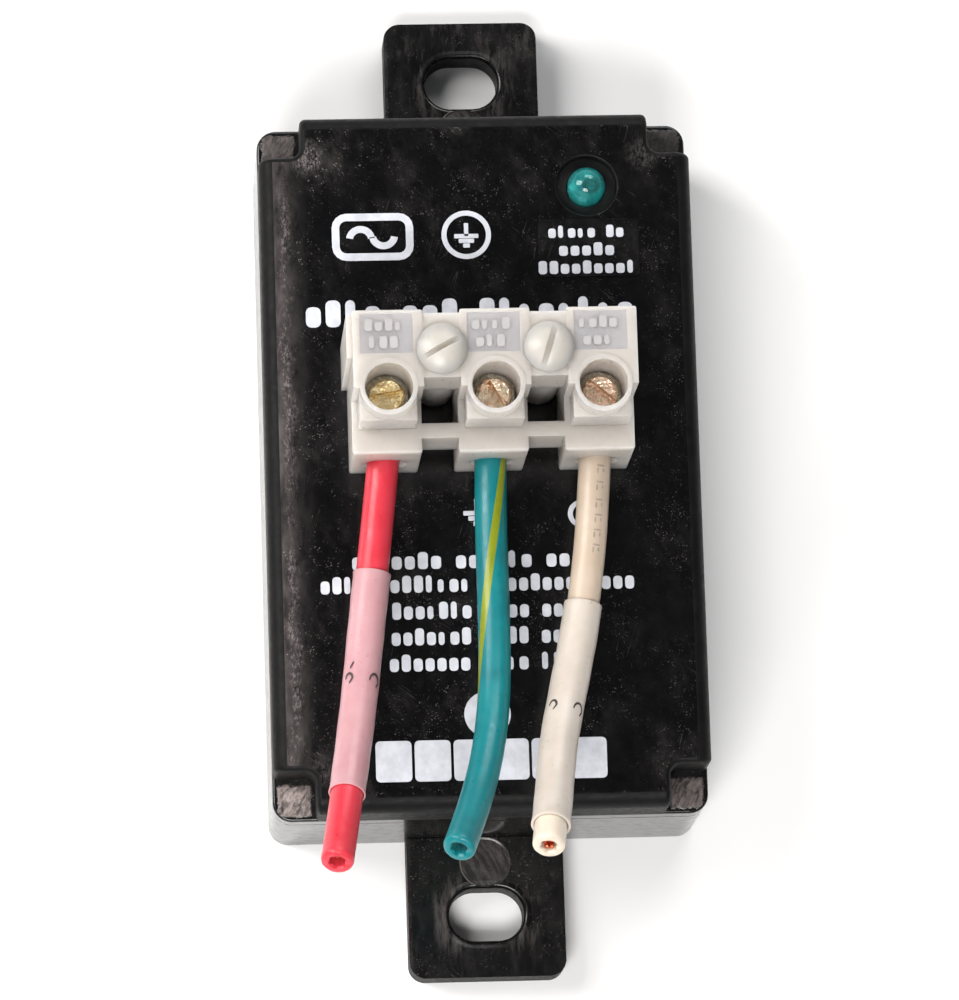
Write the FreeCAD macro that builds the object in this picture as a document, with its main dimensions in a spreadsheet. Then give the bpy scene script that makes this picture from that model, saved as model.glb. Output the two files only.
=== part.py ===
"""Surge protective device for a household electrical panel.

A black two-part moulded case with two slotted mounting tabs, a three-pole screw terminal block
on its front, an indicator lamp, three short wires clamped in the terminals, and the suppression
circuit inside.  Millimetres.  +Z points out of the front, +Y towards the lamp end, and z = 0 is
the back face.  Origin: centre of the back face.
"""
import FreeCAD, Part
import math
import os
import Sketcher
from FreeCAD import Placement, Rotation, Vector

doc = FreeCAD.newDocument("surge_protector")

# ---------------------------------------------------------------- driving dimensions

DIMENSIONS = {
    "case_width": 34.0,
    "case_length": 55.3,
    "case_depth": 17.4,
    "rear_depth": 12.8,
    "wall": 1.8,
    "floor_thickness": 2.0,
    "case_corner": 1.5,
    "edge_round": 1.25,
    "notch": 3.3,
    "notch_corner": 0.9,
    "notch_lip": 0.45,
    "post_side": 4.2,
    "post_rim": 0.22,
    "cover_thickness": 1.6,
    "spigot_depth": 1.5,
    "spigot_gap": 0.1,
    "spigot_wall": 1.0,
    "tab_width": 12.4,
    "tab_reach": 11.3,
    "tab_thickness": 3.0,
    "tab_corner": 1.3,
    "slot_length": 5.95,
    "slot_width": 4.2,
    "slot_offset": 33.95,
    "slot_lip": 0.35,
    "ejector_offset": 29.8,
    "ejector_width": 3.9,
    "ejector_sink": 0.1,
    "seam_level": 11.0,
    "seam_height": 0.16,
    "seam_sink": 0.12,
    "seam_corner": 0.6,
    "lamp_across": 8.75,
    "lamp_along": 21.7,
    "lamp_width": 3.0,
    "lamp_recess_width": 4.7,
    "lamp_recess_depth": 1.0,
    "lamp_recess_lip": 0.18,
    "lamp_flange": 0.4,
    "lamp_shoulder": 17.0,
    "lamp_seat": 13.2,
    "lamp_base": 12.2,
    "lamp_leg_side": 0.5,
    "lamp_leg_pitch": 2.54,
    "label_width": 7.9,
    "label_length": 4.65,
    "label_thickness": 0.1,
    "label_along": 16.65,
    "label_corner": 0.3,
    "block_across": 0.3,
    "pole_pitch": 8.18,
    "pole_width": 5.35,
    "block_front": -1.1,
    "block_back": 9.0,
    "block_step": 3.0,
    "shoulder_level": 25.1,
    "block_top": 30.4,
    "block_rim": 0.22,
    "mark_sink": 0.12,
    "rib_width": 0.42,
    "rib_front": 5.5,
    "rib_top": 29.3,
    "pedestal_rise": 3.4,
    "chimney_width": 4.4,
    "chimney_bore": 3.7,
    "chimney_rise": 0.2,
    "web_front": 3.7,
    "web_top": 30.25,
    "web_bottom": 25.65,
    "web_boss_width": 3.4,
    "tie_front": 0.05,
    "tie_back": 1.2,
    "tie_bottom": 20.5,
    "wire_level": 20.9,
    "wire_width": 2.5,
    "wire_core": 1.15,
    "entry_width": 3.3,
    "sleeve_width": 2.95,
    "sleeve_bore": 2.6,
    "cage_width": 3.3,
    "cage_front": 1.7,
    "cage_back": 6.3,
    "cage_bottom": 17.6,
    "cage_top": 25.7,
    "window_width": 2.3,
    "window_bottom": 20.3,
    "window_top": 24.25,
    "tail_width": 2.0,
    "tail_front": 5.1,
    "tail_back": 5.9,
    "tail_tip": 14.6,
    "tail_gap": 0.2,
    "clamp_width": 2.7,
    "clamp_tip": 22.0,
    "clamp_top": 27.2,
    "clamp_slot": 0.5,
    "clamp_slot_depth": 0.75,
    "clamp_tip_bevel": 0.2,
    "guard_thickness": 0.4,
    "running_gap": 0.04,
    "fixing_along": 5.85,
    "fixing_head": 3.9,
    "fixing_shank": 2.2,
    "fixing_dome": 1.1,
    "fixing_rim": 0.3,
    "fixing_slot": 0.45,
    "fixing_slot_depth": 0.5,
    "fixing_tip": 13.6,
    "fixing_boss": 4.4,
    "lamp_boss": 6.0,
    "boss_height": 2.4,
    "hole_play": 0.06,
    "board_level": 4.6,
    "board_thickness": 1.6,
    "board_width": 25.4,
    "board_length": 46.0,
    "standoff_across": 4.5,
    "standoff_along": 20.6,
    "standoff_width": 4.0,
    "standoff_bore": 1.6,
    "standoff_bore_depth": 3.4,
    "board_corner": 1.0,
    "board_screw_hole": 2.2,
    "board_screw_head": 3.0,
    "board_screw_rise": 1.1,
    "board_screw_shank": 1.54,
    "board_screw_reach": 4.6,
    "leg_hole": 1.1,
    "jumper_hole": 1.8,
    "varistor_width": 11.6,
    "varistor_thickness": 4.2,
    "varistor_rim": 1.2,
}


class Size:
    """A length that carries its number together with its spreadsheet formula."""

    def __init__(self, value, text):
        self.value = value
        self.text = text

    def joined(self, other, sign, value):
        return Size(value, f"({self.text} {sign} {as_size(other).text})")

    def __add__(self, other):
        return self.joined(other, "+", self.value + as_size(other).value)

    def __sub__(self, other):
        return self.joined(other, "-", self.value - as_size(other).value)

    def __mul__(self, other):
        return self.joined(other, "*", self.value * as_size(other).value)

    def __truediv__(self, other):
        return self.joined(other, "/", self.value / as_size(other).value)

    def __neg__(self):
        return Size(-self.value, f"(0 - {self.text})")


def as_size(number):
    """Turn a plain number into a Size; a Size passes through."""
    if isinstance(number, Size):
        return number
    return Size(float(number), f"({float(number)})")


def fill_sheet():
    """Write the driving dimensions into the spreadsheet and hand back their formulas."""
    sheet = doc.addObject("Spreadsheet::Sheet", "dims")
    sizes = {}
    for row, (alias, value) in enumerate(DIMENSIONS.items(), start=1):
        sheet.set(f"A{row}", alias)
        sheet.set(f"B{row}", str(value))
        sheet.setAlias(f"B{row}", alias)
        sizes[alias] = Size(value, f"dims.{alias}")
    doc.recompute()
    return sizes


d = fill_sheet()
SUB_PARTS = []


def keep(item, label):
    """Name a finished sub-part; its label is also its file name."""
    item.Label = label
    SUB_PARTS.append(item)
    return item


def bind(item, path, size):
    """Bind one property of an object to a spreadsheet formula."""
    item.setExpression(path, as_size(size).text)


# ---------------------------------------------------------------- sketch helpers


def origin_plane(body, role):
    for feature in body.Origin.OriginFeatures:
        if feature.Role == role:
            return feature
    raise ValueError(role)


def new_body(name):
    body = doc.addObject("PartDesign::Body", name)
    doc.recompute()
    return body


def flat_sketch(body, name, level):
    """A sketch parallel to the back face, at the given height."""
    sketch = body.newObject("Sketcher::SketchObject", name)
    sketch.AttachmentSupport = [(origin_plane(body, "XY_Plane"), "")]
    sketch.MapMode = "FlatFace"
    bind(sketch, "AttachmentOffset.Base.z", level)
    return sketch


def pin_point(sketch, item, point, across, along):
    """Fix one sketch point by its two distances from the origin."""
    for kind, size in (("DistanceX", across), ("DistanceY", along)):
        size = as_size(size)
        row = sketch.addConstraint(Sketcher.Constraint(kind, -1, 1, item, point, size.value))
        sketch.setExpression(f"Constraints[{row}]", size.text)


def draw_polygon(sketch, corners):
    """A closed outline of straight lines through corners given as pairs of sizes."""
    first = sketch.GeometryCount
    spots = [Vector(as_size(x).value, as_size(y).value, 0) for x, y in corners]
    count = len(spots)
    for index in range(count):
        sketch.addGeometry(Part.LineSegment(spots[index], spots[(index + 1) % count]), False)
    for index in range(count):
        following = first + (index + 1) % count
        sketch.addConstraint(Sketcher.Constraint("Coincident", first + index, 2, following, 1))
    for index, (x, y) in enumerate(corners):
        pin_point(sketch, first + index, 1, x, y)


def draw_rectangle(sketch, left, right, low, high):
    draw_polygon(sketch, [(left, low), (right, low), (right, high), (left, high)])


def draw_cross(sketch, half_width, half_length, step_x, step_y):
    """A rectangle with a square step taken out of each corner."""
    inner_x = half_width - step_x
    inner_y = half_length - step_y
    corners = [
        (-inner_x, -half_length), (inner_x, -half_length), (inner_x, -inner_y),
        (half_width, -inner_y), (half_width, inner_y), (inner_x, inner_y),
        (inner_x, half_length), (-inner_x, half_length), (-inner_x, inner_y),
        (-half_width, inner_y), (-half_width, -inner_y), (-inner_x, -inner_y),
    ]
    draw_polygon(sketch, corners)


def draw_circle(sketch, across, along, width):
    centre = Vector(as_size(across).value, as_size(along).value, 0)
    width = as_size(width)
    item = sketch.addGeometry(Part.Circle(centre, Vector(0, 0, 1), width.value / 2), False)
    row = sketch.addConstraint(Sketcher.Constraint("Diameter", item, width.value))
    sketch.setExpression(f"Constraints[{row}]", width.text)
    pin_point(sketch, item, 3, across, along)


def draw_stadium(sketch, across, along, length, width):
    """A slot outline along X: two straight sides and two half rounds."""
    radius = width / 2
    reach = length / 2 - radius
    x, y = as_size(across), as_size(along)
    left, right = x - reach, x + reach
    first = sketch.GeometryCount
    up = Vector(0, 0, 1)
    top = y.value + radius.value
    low = y.value - radius.value
    sketch.addGeometry(Part.LineSegment(Vector(left.value, low, 0), Vector(right.value, low, 0)))
    right_end = Part.Circle(Vector(right.value, y.value, 0), up, radius.value)
    sketch.addGeometry(Part.ArcOfCircle(right_end, -math.pi / 2, math.pi / 2))
    sketch.addGeometry(Part.LineSegment(Vector(right.value, top, 0), Vector(left.value, top, 0)))
    left_end = Part.Circle(Vector(left.value, y.value, 0), up, radius.value)
    sketch.addGeometry(Part.ArcOfCircle(left_end, math.pi / 2, 3 * math.pi / 2))
    for index in range(4):
        following = first + (index + 1) % 4
        sketch.addConstraint(Sketcher.Constraint("Tangent", first + index, 2, following, 1))
    row = sketch.addConstraint(Sketcher.Constraint("Radius", first + 1, radius.value))
    sketch.setExpression(f"Constraints[{row}]", radius.text)
    pin_point(sketch, first + 1, 3, right, y)
    row = sketch.addConstraint(Sketcher.Constraint("DistanceX", -1, 1, first + 3, 3, left.value))
    sketch.setExpression(f"Constraints[{row}]", left.text)


def pad(body, sketch, height):
    """Raise a sketch by the height, towards +Z."""
    feature = body.newObject("PartDesign::Pad", f"{sketch.Name}_pad")
    feature.Profile = sketch
    bind(feature, "Length", height)
    body.Tip = feature
    doc.recompute()
    return feature


def pocket(body, sketch, depth, upwards):
    """Cut a sketch by the depth, towards +Z or -Z, and check that it took material."""
    before = body.Shape.Volume
    feature = body.newObject("PartDesign::Pocket", f"{sketch.Name}_pocket")
    feature.Profile = sketch
    bind(feature, "Length", depth)
    feature.Reversed = upwards
    body.Tip = feature
    doc.recompute()
    if body.Shape.Volume >= before - 1e-6:
        raise RuntimeError(f"{feature.Name} cut nothing")
    return feature


def matching_edges(shape, wanted):
    return [f"Edge{index}" for index, edge in enumerate(shape.Edges, start=1) if wanted(edge)]


def edge_treatment(body, kind, name, size, wanted):
    """Round or bevel the chosen edges of a body's present shape."""
    base = body.Tip
    names = matching_edges(base.Shape, wanted)
    if not names:
        raise RuntimeError(f"{name} found no edge")
    feature = body.newObject(f"PartDesign::{kind}", name)
    feature.Base = (base, names)
    bind(feature, "Radius" if kind == "Fillet" else "Size", size)
    body.Tip = feature
    doc.recompute()
    if feature.State and "Invalid" in feature.State:
        raise RuntimeError(f"{name} failed")
    return feature


def is_upright(edge):
    box = edge.BoundBox
    return box.XLength < 1e-6 and box.YLength < 1e-6 and box.ZLength > 1e-3


def lies_at(edge, level):
    box = edge.BoundBox
    return abs(box.ZMin - level.value) < 1e-4 and abs(box.ZMax - level.value) < 1e-4


# ---------------------------------------------------------------- primitive helpers


def block(name, low, high):
    """A box between two corners given as triples of sizes."""
    item = doc.addObject("Part::Box", name)
    low = [as_size(size) for size in low]
    high = [as_size(size) for size in high]
    for prop, axis, start, stop in zip(("Length", "Width", "Height"), "xyz", low, high):
        bind(item, prop, stop - start)
        bind(item, f"Placement.Base.{axis}", start)
    return item


def rod(name, centre, width, height, direction="z"):
    """A round bar along +Z, or along +Y, from the middle of its first end."""
    item = doc.addObject("Part::Cylinder", name)
    bind(item, "Radius", as_size(width) / 2)
    bind(item, "Height", height)
    if direction == "y":
        item.Placement = Placement(Vector(), Rotation(Vector(1, 0, 0), -90))
    for axis, size in zip("xyz", centre):
        bind(item, f"Placement.Base.{axis}", size)
    return item


def fused(name, items):
    item = doc.addObject("Part::MultiFuse", name)
    item.Shapes = items
    item.Refine = True
    return item


def cut(name, base, tools):
    """Take the tools away from the base, and check that they took material."""
    item = doc.addObject("Part::Cut", name)
    item.Base = base
    item.Tool = tools[0] if len(tools) == 1 else fused(f"{name}_tools", tools)
    item.Refine = True
    doc.recompute()
    if item.Shape.Volume >= base.Shape.Volume - 1e-6:
        raise RuntimeError(f"{name} cut nothing")
    return item


def group(name, items):
    item = doc.addObject("Part::Compound", name)
    item.Links = items
    return item


def plain_feature(name, shape):
    item = doc.addObject("Part::Feature", name)
    item.Shape = shape
    return item


def pole_centre(index):
    """Across position of terminal 0, 1 or 2, from left to right."""
    return d["block_across"] + d["pole_pitch"] * (index - 1)


POLES = ["line", "ground", "neutral"]
HALF_WIDTH = d["case_width"] / 2
HALF_LENGTH = d["case_length"] / 2
HAIR = 0.02

# ---------------------------------------------------------------- rear housing


def make_rear_housing():
    """The deep tray with its mounting tabs, corner posts and board standoffs."""
    body = new_body("rear_housing_body")
    outline = flat_sketch(body, "tray_outline", 0)
    draw_rectangle(outline, -HALF_WIDTH, HALF_WIDTH, -HALF_LENGTH, HALF_LENGTH)
    pad(body, outline, d["rear_depth"])
    edge_treatment(body, "Fillet", "tray_corners", d["case_corner"], is_upright)

    tabs = flat_sketch(body, "tabs", 0)
    half_tab = d["tab_width"] / 2
    tab_end = HALF_LENGTH + d["tab_reach"]
    draw_rectangle(tabs, -half_tab, half_tab, HALF_LENGTH - 1, tab_end)
    draw_rectangle(tabs, -half_tab, half_tab, -tab_end, -(HALF_LENGTH - 1))
    pad(body, tabs, d["tab_thickness"])
    edge_treatment(
        body, "Fillet", "tab_corners", d["tab_corner"],
        lambda edge: is_upright(edge) and abs(edge.BoundBox.YMin) > tab_end.value - 0.01,
    )

    slots = flat_sketch(body, "tab_slots", d["tab_thickness"])
    for side in (-1, 1):
        draw_stadium(slots, 0, d["slot_offset"] * side, d["slot_length"], d["slot_width"])
    pocket(body, slots, d["tab_thickness"], False)
    slot_reach = d["slot_offset"].value - d["slot_width"].value
    edge_treatment(
        body, "Fillet", "slot_lips", d["slot_lip"],
        lambda edge: lies_at(edge, d["tab_thickness"])
        and abs(edge.BoundBox.Center.x) < d["slot_length"].value / 2
        and slot_reach < abs(edge.BoundBox.Center.y) < tab_end.value - 1,
    )

    marks = flat_sketch(body, "ejector_marks", d["tab_thickness"])
    for side in (-1, 1):
        draw_circle(marks, 0, d["ejector_offset"] * side, d["ejector_width"])
    pocket(body, marks, d["ejector_sink"], False)

    seam = flat_sketch(body, "seam", d["seam_level"])
    draw_rectangle(seam, -HALF_WIDTH - 1, HALF_WIDTH + 1, -HALF_LENGTH - 1, HALF_LENGTH + 1)
    seam_x, seam_y = HALF_WIDTH - d["seam_sink"], HALF_LENGTH - d["seam_sink"]
    draw_cross(seam, seam_x, seam_y, d["seam_corner"], d["seam_corner"])
    pocket(body, seam, d["seam_height"], True)

    cavity = flat_sketch(body, "cavity", d["rear_depth"])
    step = d["post_side"] - d["wall"]
    draw_cross(cavity, HALF_WIDTH - d["wall"], HALF_LENGTH - d["wall"], step, step)
    pocket(body, cavity, d["rear_depth"] - d["floor_thickness"], False)

    standoffs = flat_sketch(body, "standoffs", d["floor_thickness"])
    screw_holes = flat_sketch(body, "standoff_holes", d["board_level"])
    for side_x in (-1, 1):
        for side_y in (-1, 1):
            spot = (d["standoff_across"] * side_x, d["standoff_along"] * side_y)
            draw_circle(standoffs, *spot, d["standoff_width"])
            draw_circle(screw_holes, *spot, d["standoff_bore"])
    pad(body, standoffs, d["board_level"] - d["floor_thickness"])
    pocket(body, screw_holes, d["standoff_bore_depth"], False)

    edge_treatment(
        body, "Fillet", "post_rims", d["post_rim"],
        lambda edge: lies_at(edge, d["rear_depth"])
        and max(
            abs(edge.BoundBox.Center.x) - HALF_WIDTH.value,
            abs(edge.BoundBox.Center.y) - HALF_LENGTH.value,
        ) > -0.6,
    )
    keep(body, "rear_housing")


# ---------------------------------------------------------------- front cover


def make_front_cover():
    """The shallow lid: stepped corners, crowned edges, lamp recess and terminal slots."""
    body = new_body("front_cover_body")
    outline = flat_sketch(body, "lid_outline", d["rear_depth"])
    draw_rectangle(outline, -HALF_WIDTH, HALF_WIDTH, -HALF_LENGTH, HALF_LENGTH)
    pad(body, outline, d["case_depth"] - d["rear_depth"])
    edge_treatment(
        body, "Fillet", "crowned_edges", d["edge_round"],
        lambda edge: lies_at(edge, d["case_depth"]),
    )

    notches = flat_sketch(body, "corner_notches", d["case_depth"] + 1)
    inner_x, inner_y = HALF_WIDTH - d["notch"], HALF_LENGTH - d["notch"]
    outer_x, outer_y = HALF_WIDTH + 1, HALF_LENGTH + 1
    draw_rectangle(notches, -outer_x, -inner_x, -outer_y, -inner_y)
    draw_rectangle(notches, inner_x, outer_x, -outer_y, -inner_y)
    draw_rectangle(notches, inner_x, outer_x, inner_y, outer_y)
    draw_rectangle(notches, -outer_x, -inner_x, inner_y, outer_y)
    pocket(body, notches, d["case_depth"] + 1 - d["rear_depth"], False)
    edge_treatment(
        body, "Fillet", "notch_corners", d["notch_corner"],
        lambda edge: is_upright(edge)
        and abs(abs(edge.BoundBox.XMin) - inner_x.value) < 0.01
        and abs(abs(edge.BoundBox.YMin) - inner_y.value) < 0.01,
    )
    edge_treatment(body, "Fillet", "notch_lips", d["notch_lip"], is_notch_edge)

    spigot_level = d["rear_depth"] - d["spigot_depth"]
    spigot = flat_sketch(body, "spigot", spigot_level)
    rim = d["wall"] + d["spigot_gap"]
    step = d["post_side"] - d["wall"]
    draw_cross(spigot, HALF_WIDTH - rim, HALF_LENGTH - rim, step, step)
    pad(body, spigot, d["spigot_depth"])
    hollow = flat_sketch(body, "hollow", spigot_level)
    inside = rim + d["spigot_wall"]
    draw_cross(hollow, HALF_WIDTH - inside, HALF_LENGTH - inside, step, step)
    under_top = d["case_depth"] - d["cover_thickness"]
    pocket(body, hollow, under_top - spigot_level, True)

    bosses = flat_sketch(body, "bosses", under_top - d["boss_height"])
    for side in (-1, 1):
        across = d["block_across"] + d["pole_pitch"] * side / 2
        draw_circle(bosses, across, d["fixing_along"], d["fixing_boss"])
    draw_circle(bosses, d["lamp_across"], d["lamp_along"], d["lamp_boss"])
    pad(body, bosses, d["boss_height"])

    holes = flat_sketch(body, "through_holes", d["case_depth"])
    for side in (-1, 1):
        across = d["block_across"] + d["pole_pitch"] * side / 2
        draw_circle(holes, across, d["fixing_along"], d["fixing_shank"] + d["hole_play"])
    draw_circle(holes, d["lamp_across"], d["lamp_along"], d["lamp_width"] + d["hole_play"] * 2)
    half_tail = d["tail_width"] / 2 + d["tail_gap"]
    tail_low, tail_high = d["tail_front"] - d["tail_gap"], d["tail_back"] + d["tail_gap"]
    for index in range(3):
        across = pole_centre(index)
        draw_rectangle(holes, across - half_tail, across + half_tail, tail_low, tail_high)
    pocket(body, holes, d["cover_thickness"] + d["boss_height"] + 1, False)

    recess = flat_sketch(body, "lamp_recess", d["case_depth"])
    draw_circle(recess, d["lamp_across"], d["lamp_along"], d["lamp_recess_width"])
    pocket(body, recess, d["lamp_recess_depth"], False)
    recess_radius = d["lamp_recess_width"].value / 2
    edge_treatment(
        body, "Fillet", "recess_lip", d["lamp_recess_lip"],
        lambda edge: lies_at(edge, d["case_depth"])
        and abs(edge.BoundBox.XLength - 2 * recess_radius) < 0.01,
    )
    keep(body, "front_cover")


def is_notch_edge(edge):
    """True for the chain of edges round each corner step of the cover, base edge left out."""
    inner_x = HALF_WIDTH.value - d["notch"].value
    inner_y = HALF_LENGTH.value - d["notch"].value
    box = edge.BoundBox
    if box.ZMax < d["rear_depth"].value + 0.1:
        return False
    low_x, high_x = sorted((abs(box.XMin), abs(box.XMax)))
    low_y, high_y = sorted((abs(box.YMin), abs(box.YMax)))
    top = abs(box.ZMin - d["case_depth"].value) < 1e-4
    on_x_wall = high_x - low_x < 1e-4 and abs(low_x - inner_x) < 1e-3 and low_y > inner_y - 0.01
    on_y_wall = high_y - low_y < 1e-4 and abs(low_y - inner_y) < 1e-3 and low_x > inner_x - 0.01
    in_corner = low_x > inner_x - 0.01 and low_y > inner_y - 0.01
    if top:
        return in_corner
    at_outside = high_x > HALF_WIDTH.value - 0.01 or high_y > HALF_LENGTH.value - 0.01
    return (on_x_wall or on_y_wall) and at_outside


# ---------------------------------------------------------------- label and lamp


def make_status_label():
    """The thin printed film below the lamp."""
    body = new_body("status_label_body")
    outline = flat_sketch(body, "label_outline", d["case_depth"])
    half_width, half_length = d["label_width"] / 2, d["label_length"] / 2
    across, along = d["lamp_across"], d["label_along"]
    draw_rectangle(
        outline, across - half_width, across + half_width, along - half_length, along + half_length
    )
    pad(body, outline, d["label_thickness"])
    edge_treatment(body, "Fillet", "label_corners", d["label_corner"], is_upright)
    keep(body, "status_label")


def make_indicator_lamp():
    """A round 3 mm lamp with its flange, turned about its own axis."""
    body = new_body("indicator_lens_body")
    profile = body.newObject("Sketcher::SketchObject", "lens_profile")
    profile.AttachmentSupport = [(origin_plane(body, "XZ_Plane"), "")]
    profile.MapMode = "FlatFace"
    radius = d["lamp_width"] / 2
    flange = radius + d["lamp_flange"]
    base, seat, shoulder = d["lamp_base"], d["lamp_seat"], d["lamp_shoulder"]
    corners = [(as_size(0), base), (flange, base), (flange, seat), (radius, seat), (radius, shoulder)]
    vectors = [Vector(x.value, z.value, 0) for x, z in corners]
    for start, stop in zip(vectors, vectors[1:]):
        profile.addGeometry(Part.LineSegment(start, stop), False)
    dome = Part.Circle(Vector(0, shoulder.value, 0), Vector(0, 0, 1), radius.value)
    profile.addGeometry(Part.ArcOfCircle(dome, 0, math.pi / 2), False)
    top = shoulder + radius
    profile.addGeometry(Part.LineSegment(Vector(0, top.value, 0), Vector(0, base.value, 0)), False)
    for index in range(6):
        kind = "Tangent" if index == 3 else "Coincident"
        profile.addConstraint(Sketcher.Constraint(kind, index, 2, (index + 1) % 6, 1))
    pin_point(profile, 1, 1, flange, base)
    pin_point(profile, 2, 1, flange, seat)
    pin_point(profile, 3, 1, radius, seat)
    profile.addConstraint(Sketcher.Constraint("Vertical", 3))
    profile.addConstraint(Sketcher.Constraint("Horizontal", 0))
    for item, point in ((0, 1), (4, 3), (5, 1)):
        profile.addConstraint(Sketcher.Constraint("PointOnObject", item, point, -2))
    row = profile.addConstraint(Sketcher.Constraint("DistanceY", -1, 1, 4, 3, shoulder.value))
    profile.setExpression(f"Constraints[{row}]", shoulder.text)
    lens = body.newObject("PartDesign::Revolution", "lens_turned")
    lens.Profile = profile
    lens.ReferenceAxis = (profile, ["V_Axis"])
    lens.Angle = 360
    body.Tip = lens
    bind(body, "Placement.Base.x", d["lamp_across"])
    bind(body, "Placement.Base.y", d["lamp_along"])
    keep(body, "indicator_lens")

    legs = []
    half_leg = d["lamp_leg_side"] / 2
    for side, foot in ((-1, 2.9), (1, 3.3)):
        across = d["lamp_across"] + d["lamp_leg_pitch"] * side / 2
        low = (across - half_leg, d["lamp_along"] - half_leg, foot)
        high = (across + half_leg, d["lamp_along"] + half_leg, base - HAIR)
        legs.append(block(f"lamp_leg_{len(legs)}", low, high))
    keep(group("indicator_legs_group", legs), "indicator_legs")


# ---------------------------------------------------------------- terminal block


def make_terminal_block():
    """One nylon moulding: three poles, their chimneys, two screw webs and two tie bars."""
    base = d["case_depth"]
    half = d["pole_width"] / 2
    solids = []
    tools = []
    for index in range(3):
        middle = pole_centre(index)
        left, right = middle - half, middle + half
        front, back, step = d["block_front"], d["block_back"], d["block_step"]
        shoulder = d["shoulder_level"]
        solids.append(block(f"shoulder_{index}", (left, front, base), (right, step, shoulder)))
        solids.append(block(f"upright_{index}", (left, step, base), (right, back, d["block_top"])))
        chimney_half = d["chimney_width"] / 2
        pedestal_top = shoulder + d["pedestal_rise"]
        solids.append(
            block(
                f"pedestal_{index}",
                (middle - chimney_half, step - chimney_half, shoulder - 1),
                (middle + chimney_half, step + 1, pedestal_top),
            )
        )
        chimney_top = d["block_top"] + d["chimney_rise"]
        bottom = shoulder - 1
        spot = (middle, step, bottom)
        solids.append(rod(f"chimney_{index}", spot, d["chimney_width"], chimney_top - bottom))

        bore_base = d["cage_top"] - 0.5
        spot = (middle, step, bore_base)
        bore_height = chimney_top + 1 - bore_base
        tools.append(rod(f"chimney_bore_{index}", spot, d["chimney_bore"], bore_height))
        fit = d["hole_play"]
        cage_half = d["cage_width"] / 2 + fit
        tools.append(
            block(
                f"cage_pocket_{index}",
                (middle - cage_half, d["cage_front"] - fit, base - 1),
                (middle + cage_half, d["cage_back"] + fit, d["cage_top"] + fit),
            )
        )
        spot = (middle, front - 1, d["wire_level"])
        entry_length = d["cage_front"] - front + 1.2
        tools.append(rod(f"entry_{index}", spot, d["entry_width"], entry_length, "y"))
        tools.append(
            block(
                f"marking_recess_{index}",
                (left + 0.55, step + 2.6, d["block_top"] - d["mark_sink"]),
                (right - 0.75, back - 0.3, d["block_top"] + 1),
            )
        )
    pole_side = pole_centre(0) - half
    rib_low = (pole_side - d["rib_width"], d["rib_front"], base)
    rib_high = (pole_side + d["rib_width"], d["block_back"] - 0.1, d["rib_top"])
    solids.append(block("side_rib", rib_low, rib_high))

    for index, side in enumerate((-1, 1)):
        middle = d["block_across"] + d["pole_pitch"] * side / 2
        gap = (d["pole_pitch"] - d["pole_width"]) / 2 + 0.2
        solids.append(
            block(
                f"web_{index}",
                (middle - gap, d["web_front"], d["web_bottom"]),
                (middle + gap, d["block_back"] - 0.3, d["web_top"]),
            )
        )
        solids.append(
            block(
                f"tie_{index}",
                (middle - gap, d["tie_front"], d["tie_bottom"]),
                (middle + gap, d["tie_back"], d["shoulder_level"]),
            )
        )
        spot = (middle, d["fixing_along"], base)
        solids.append(rod(f"web_boss_{index}", spot, d["web_boss_width"], d["web_bottom"] - base + 1))
        below = base - 1
        spot = (middle, d["fixing_along"], below)
        shank_bore = d["fixing_shank"] + d["hole_play"]
        tools.append(rod(f"fixing_bore_{index}", spot, shank_bore, d["web_top"] + 1 - below))

    moulding = fused("block_moulding", solids)
    hollowed = cut("block_hollowed", moulding, tools)
    doc.recompute()
    softened = doc.addObject("Part::Fillet", "block_softened")
    softened.Base = hollowed
    rim = d["block_rim"].value
    softened.Edges = [
        (index, rim, rim)
        for index, edge in enumerate(hollowed.Shape.Edges, start=1)
        if is_block_rim(edge)
    ]
    doc.recompute()
    keep(softened, "terminal_block_body")


def is_block_rim(edge):
    """The long outside edges of the moulding that a finger meets."""
    box = edge.BoundBox
    front, back = d["block_front"].value, d["block_back"].value
    if is_upright(edge):
        at_front = abs(box.YMin - front) < 0.01
        at_back = abs(box.YMin - back) < 0.01
        return (at_front or at_back) and box.ZLength > 4
    at_shoulder = lies_at(edge, d["shoulder_level"])
    at_top = lies_at(edge, d["block_top"])
    along_x = box.YLength < 1e-6 and box.XLength > 3
    return along_x and ((at_shoulder and abs(box.YMin - front) < 0.01)
                        or (at_top and abs(box.YMin - back) < 0.01))


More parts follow.
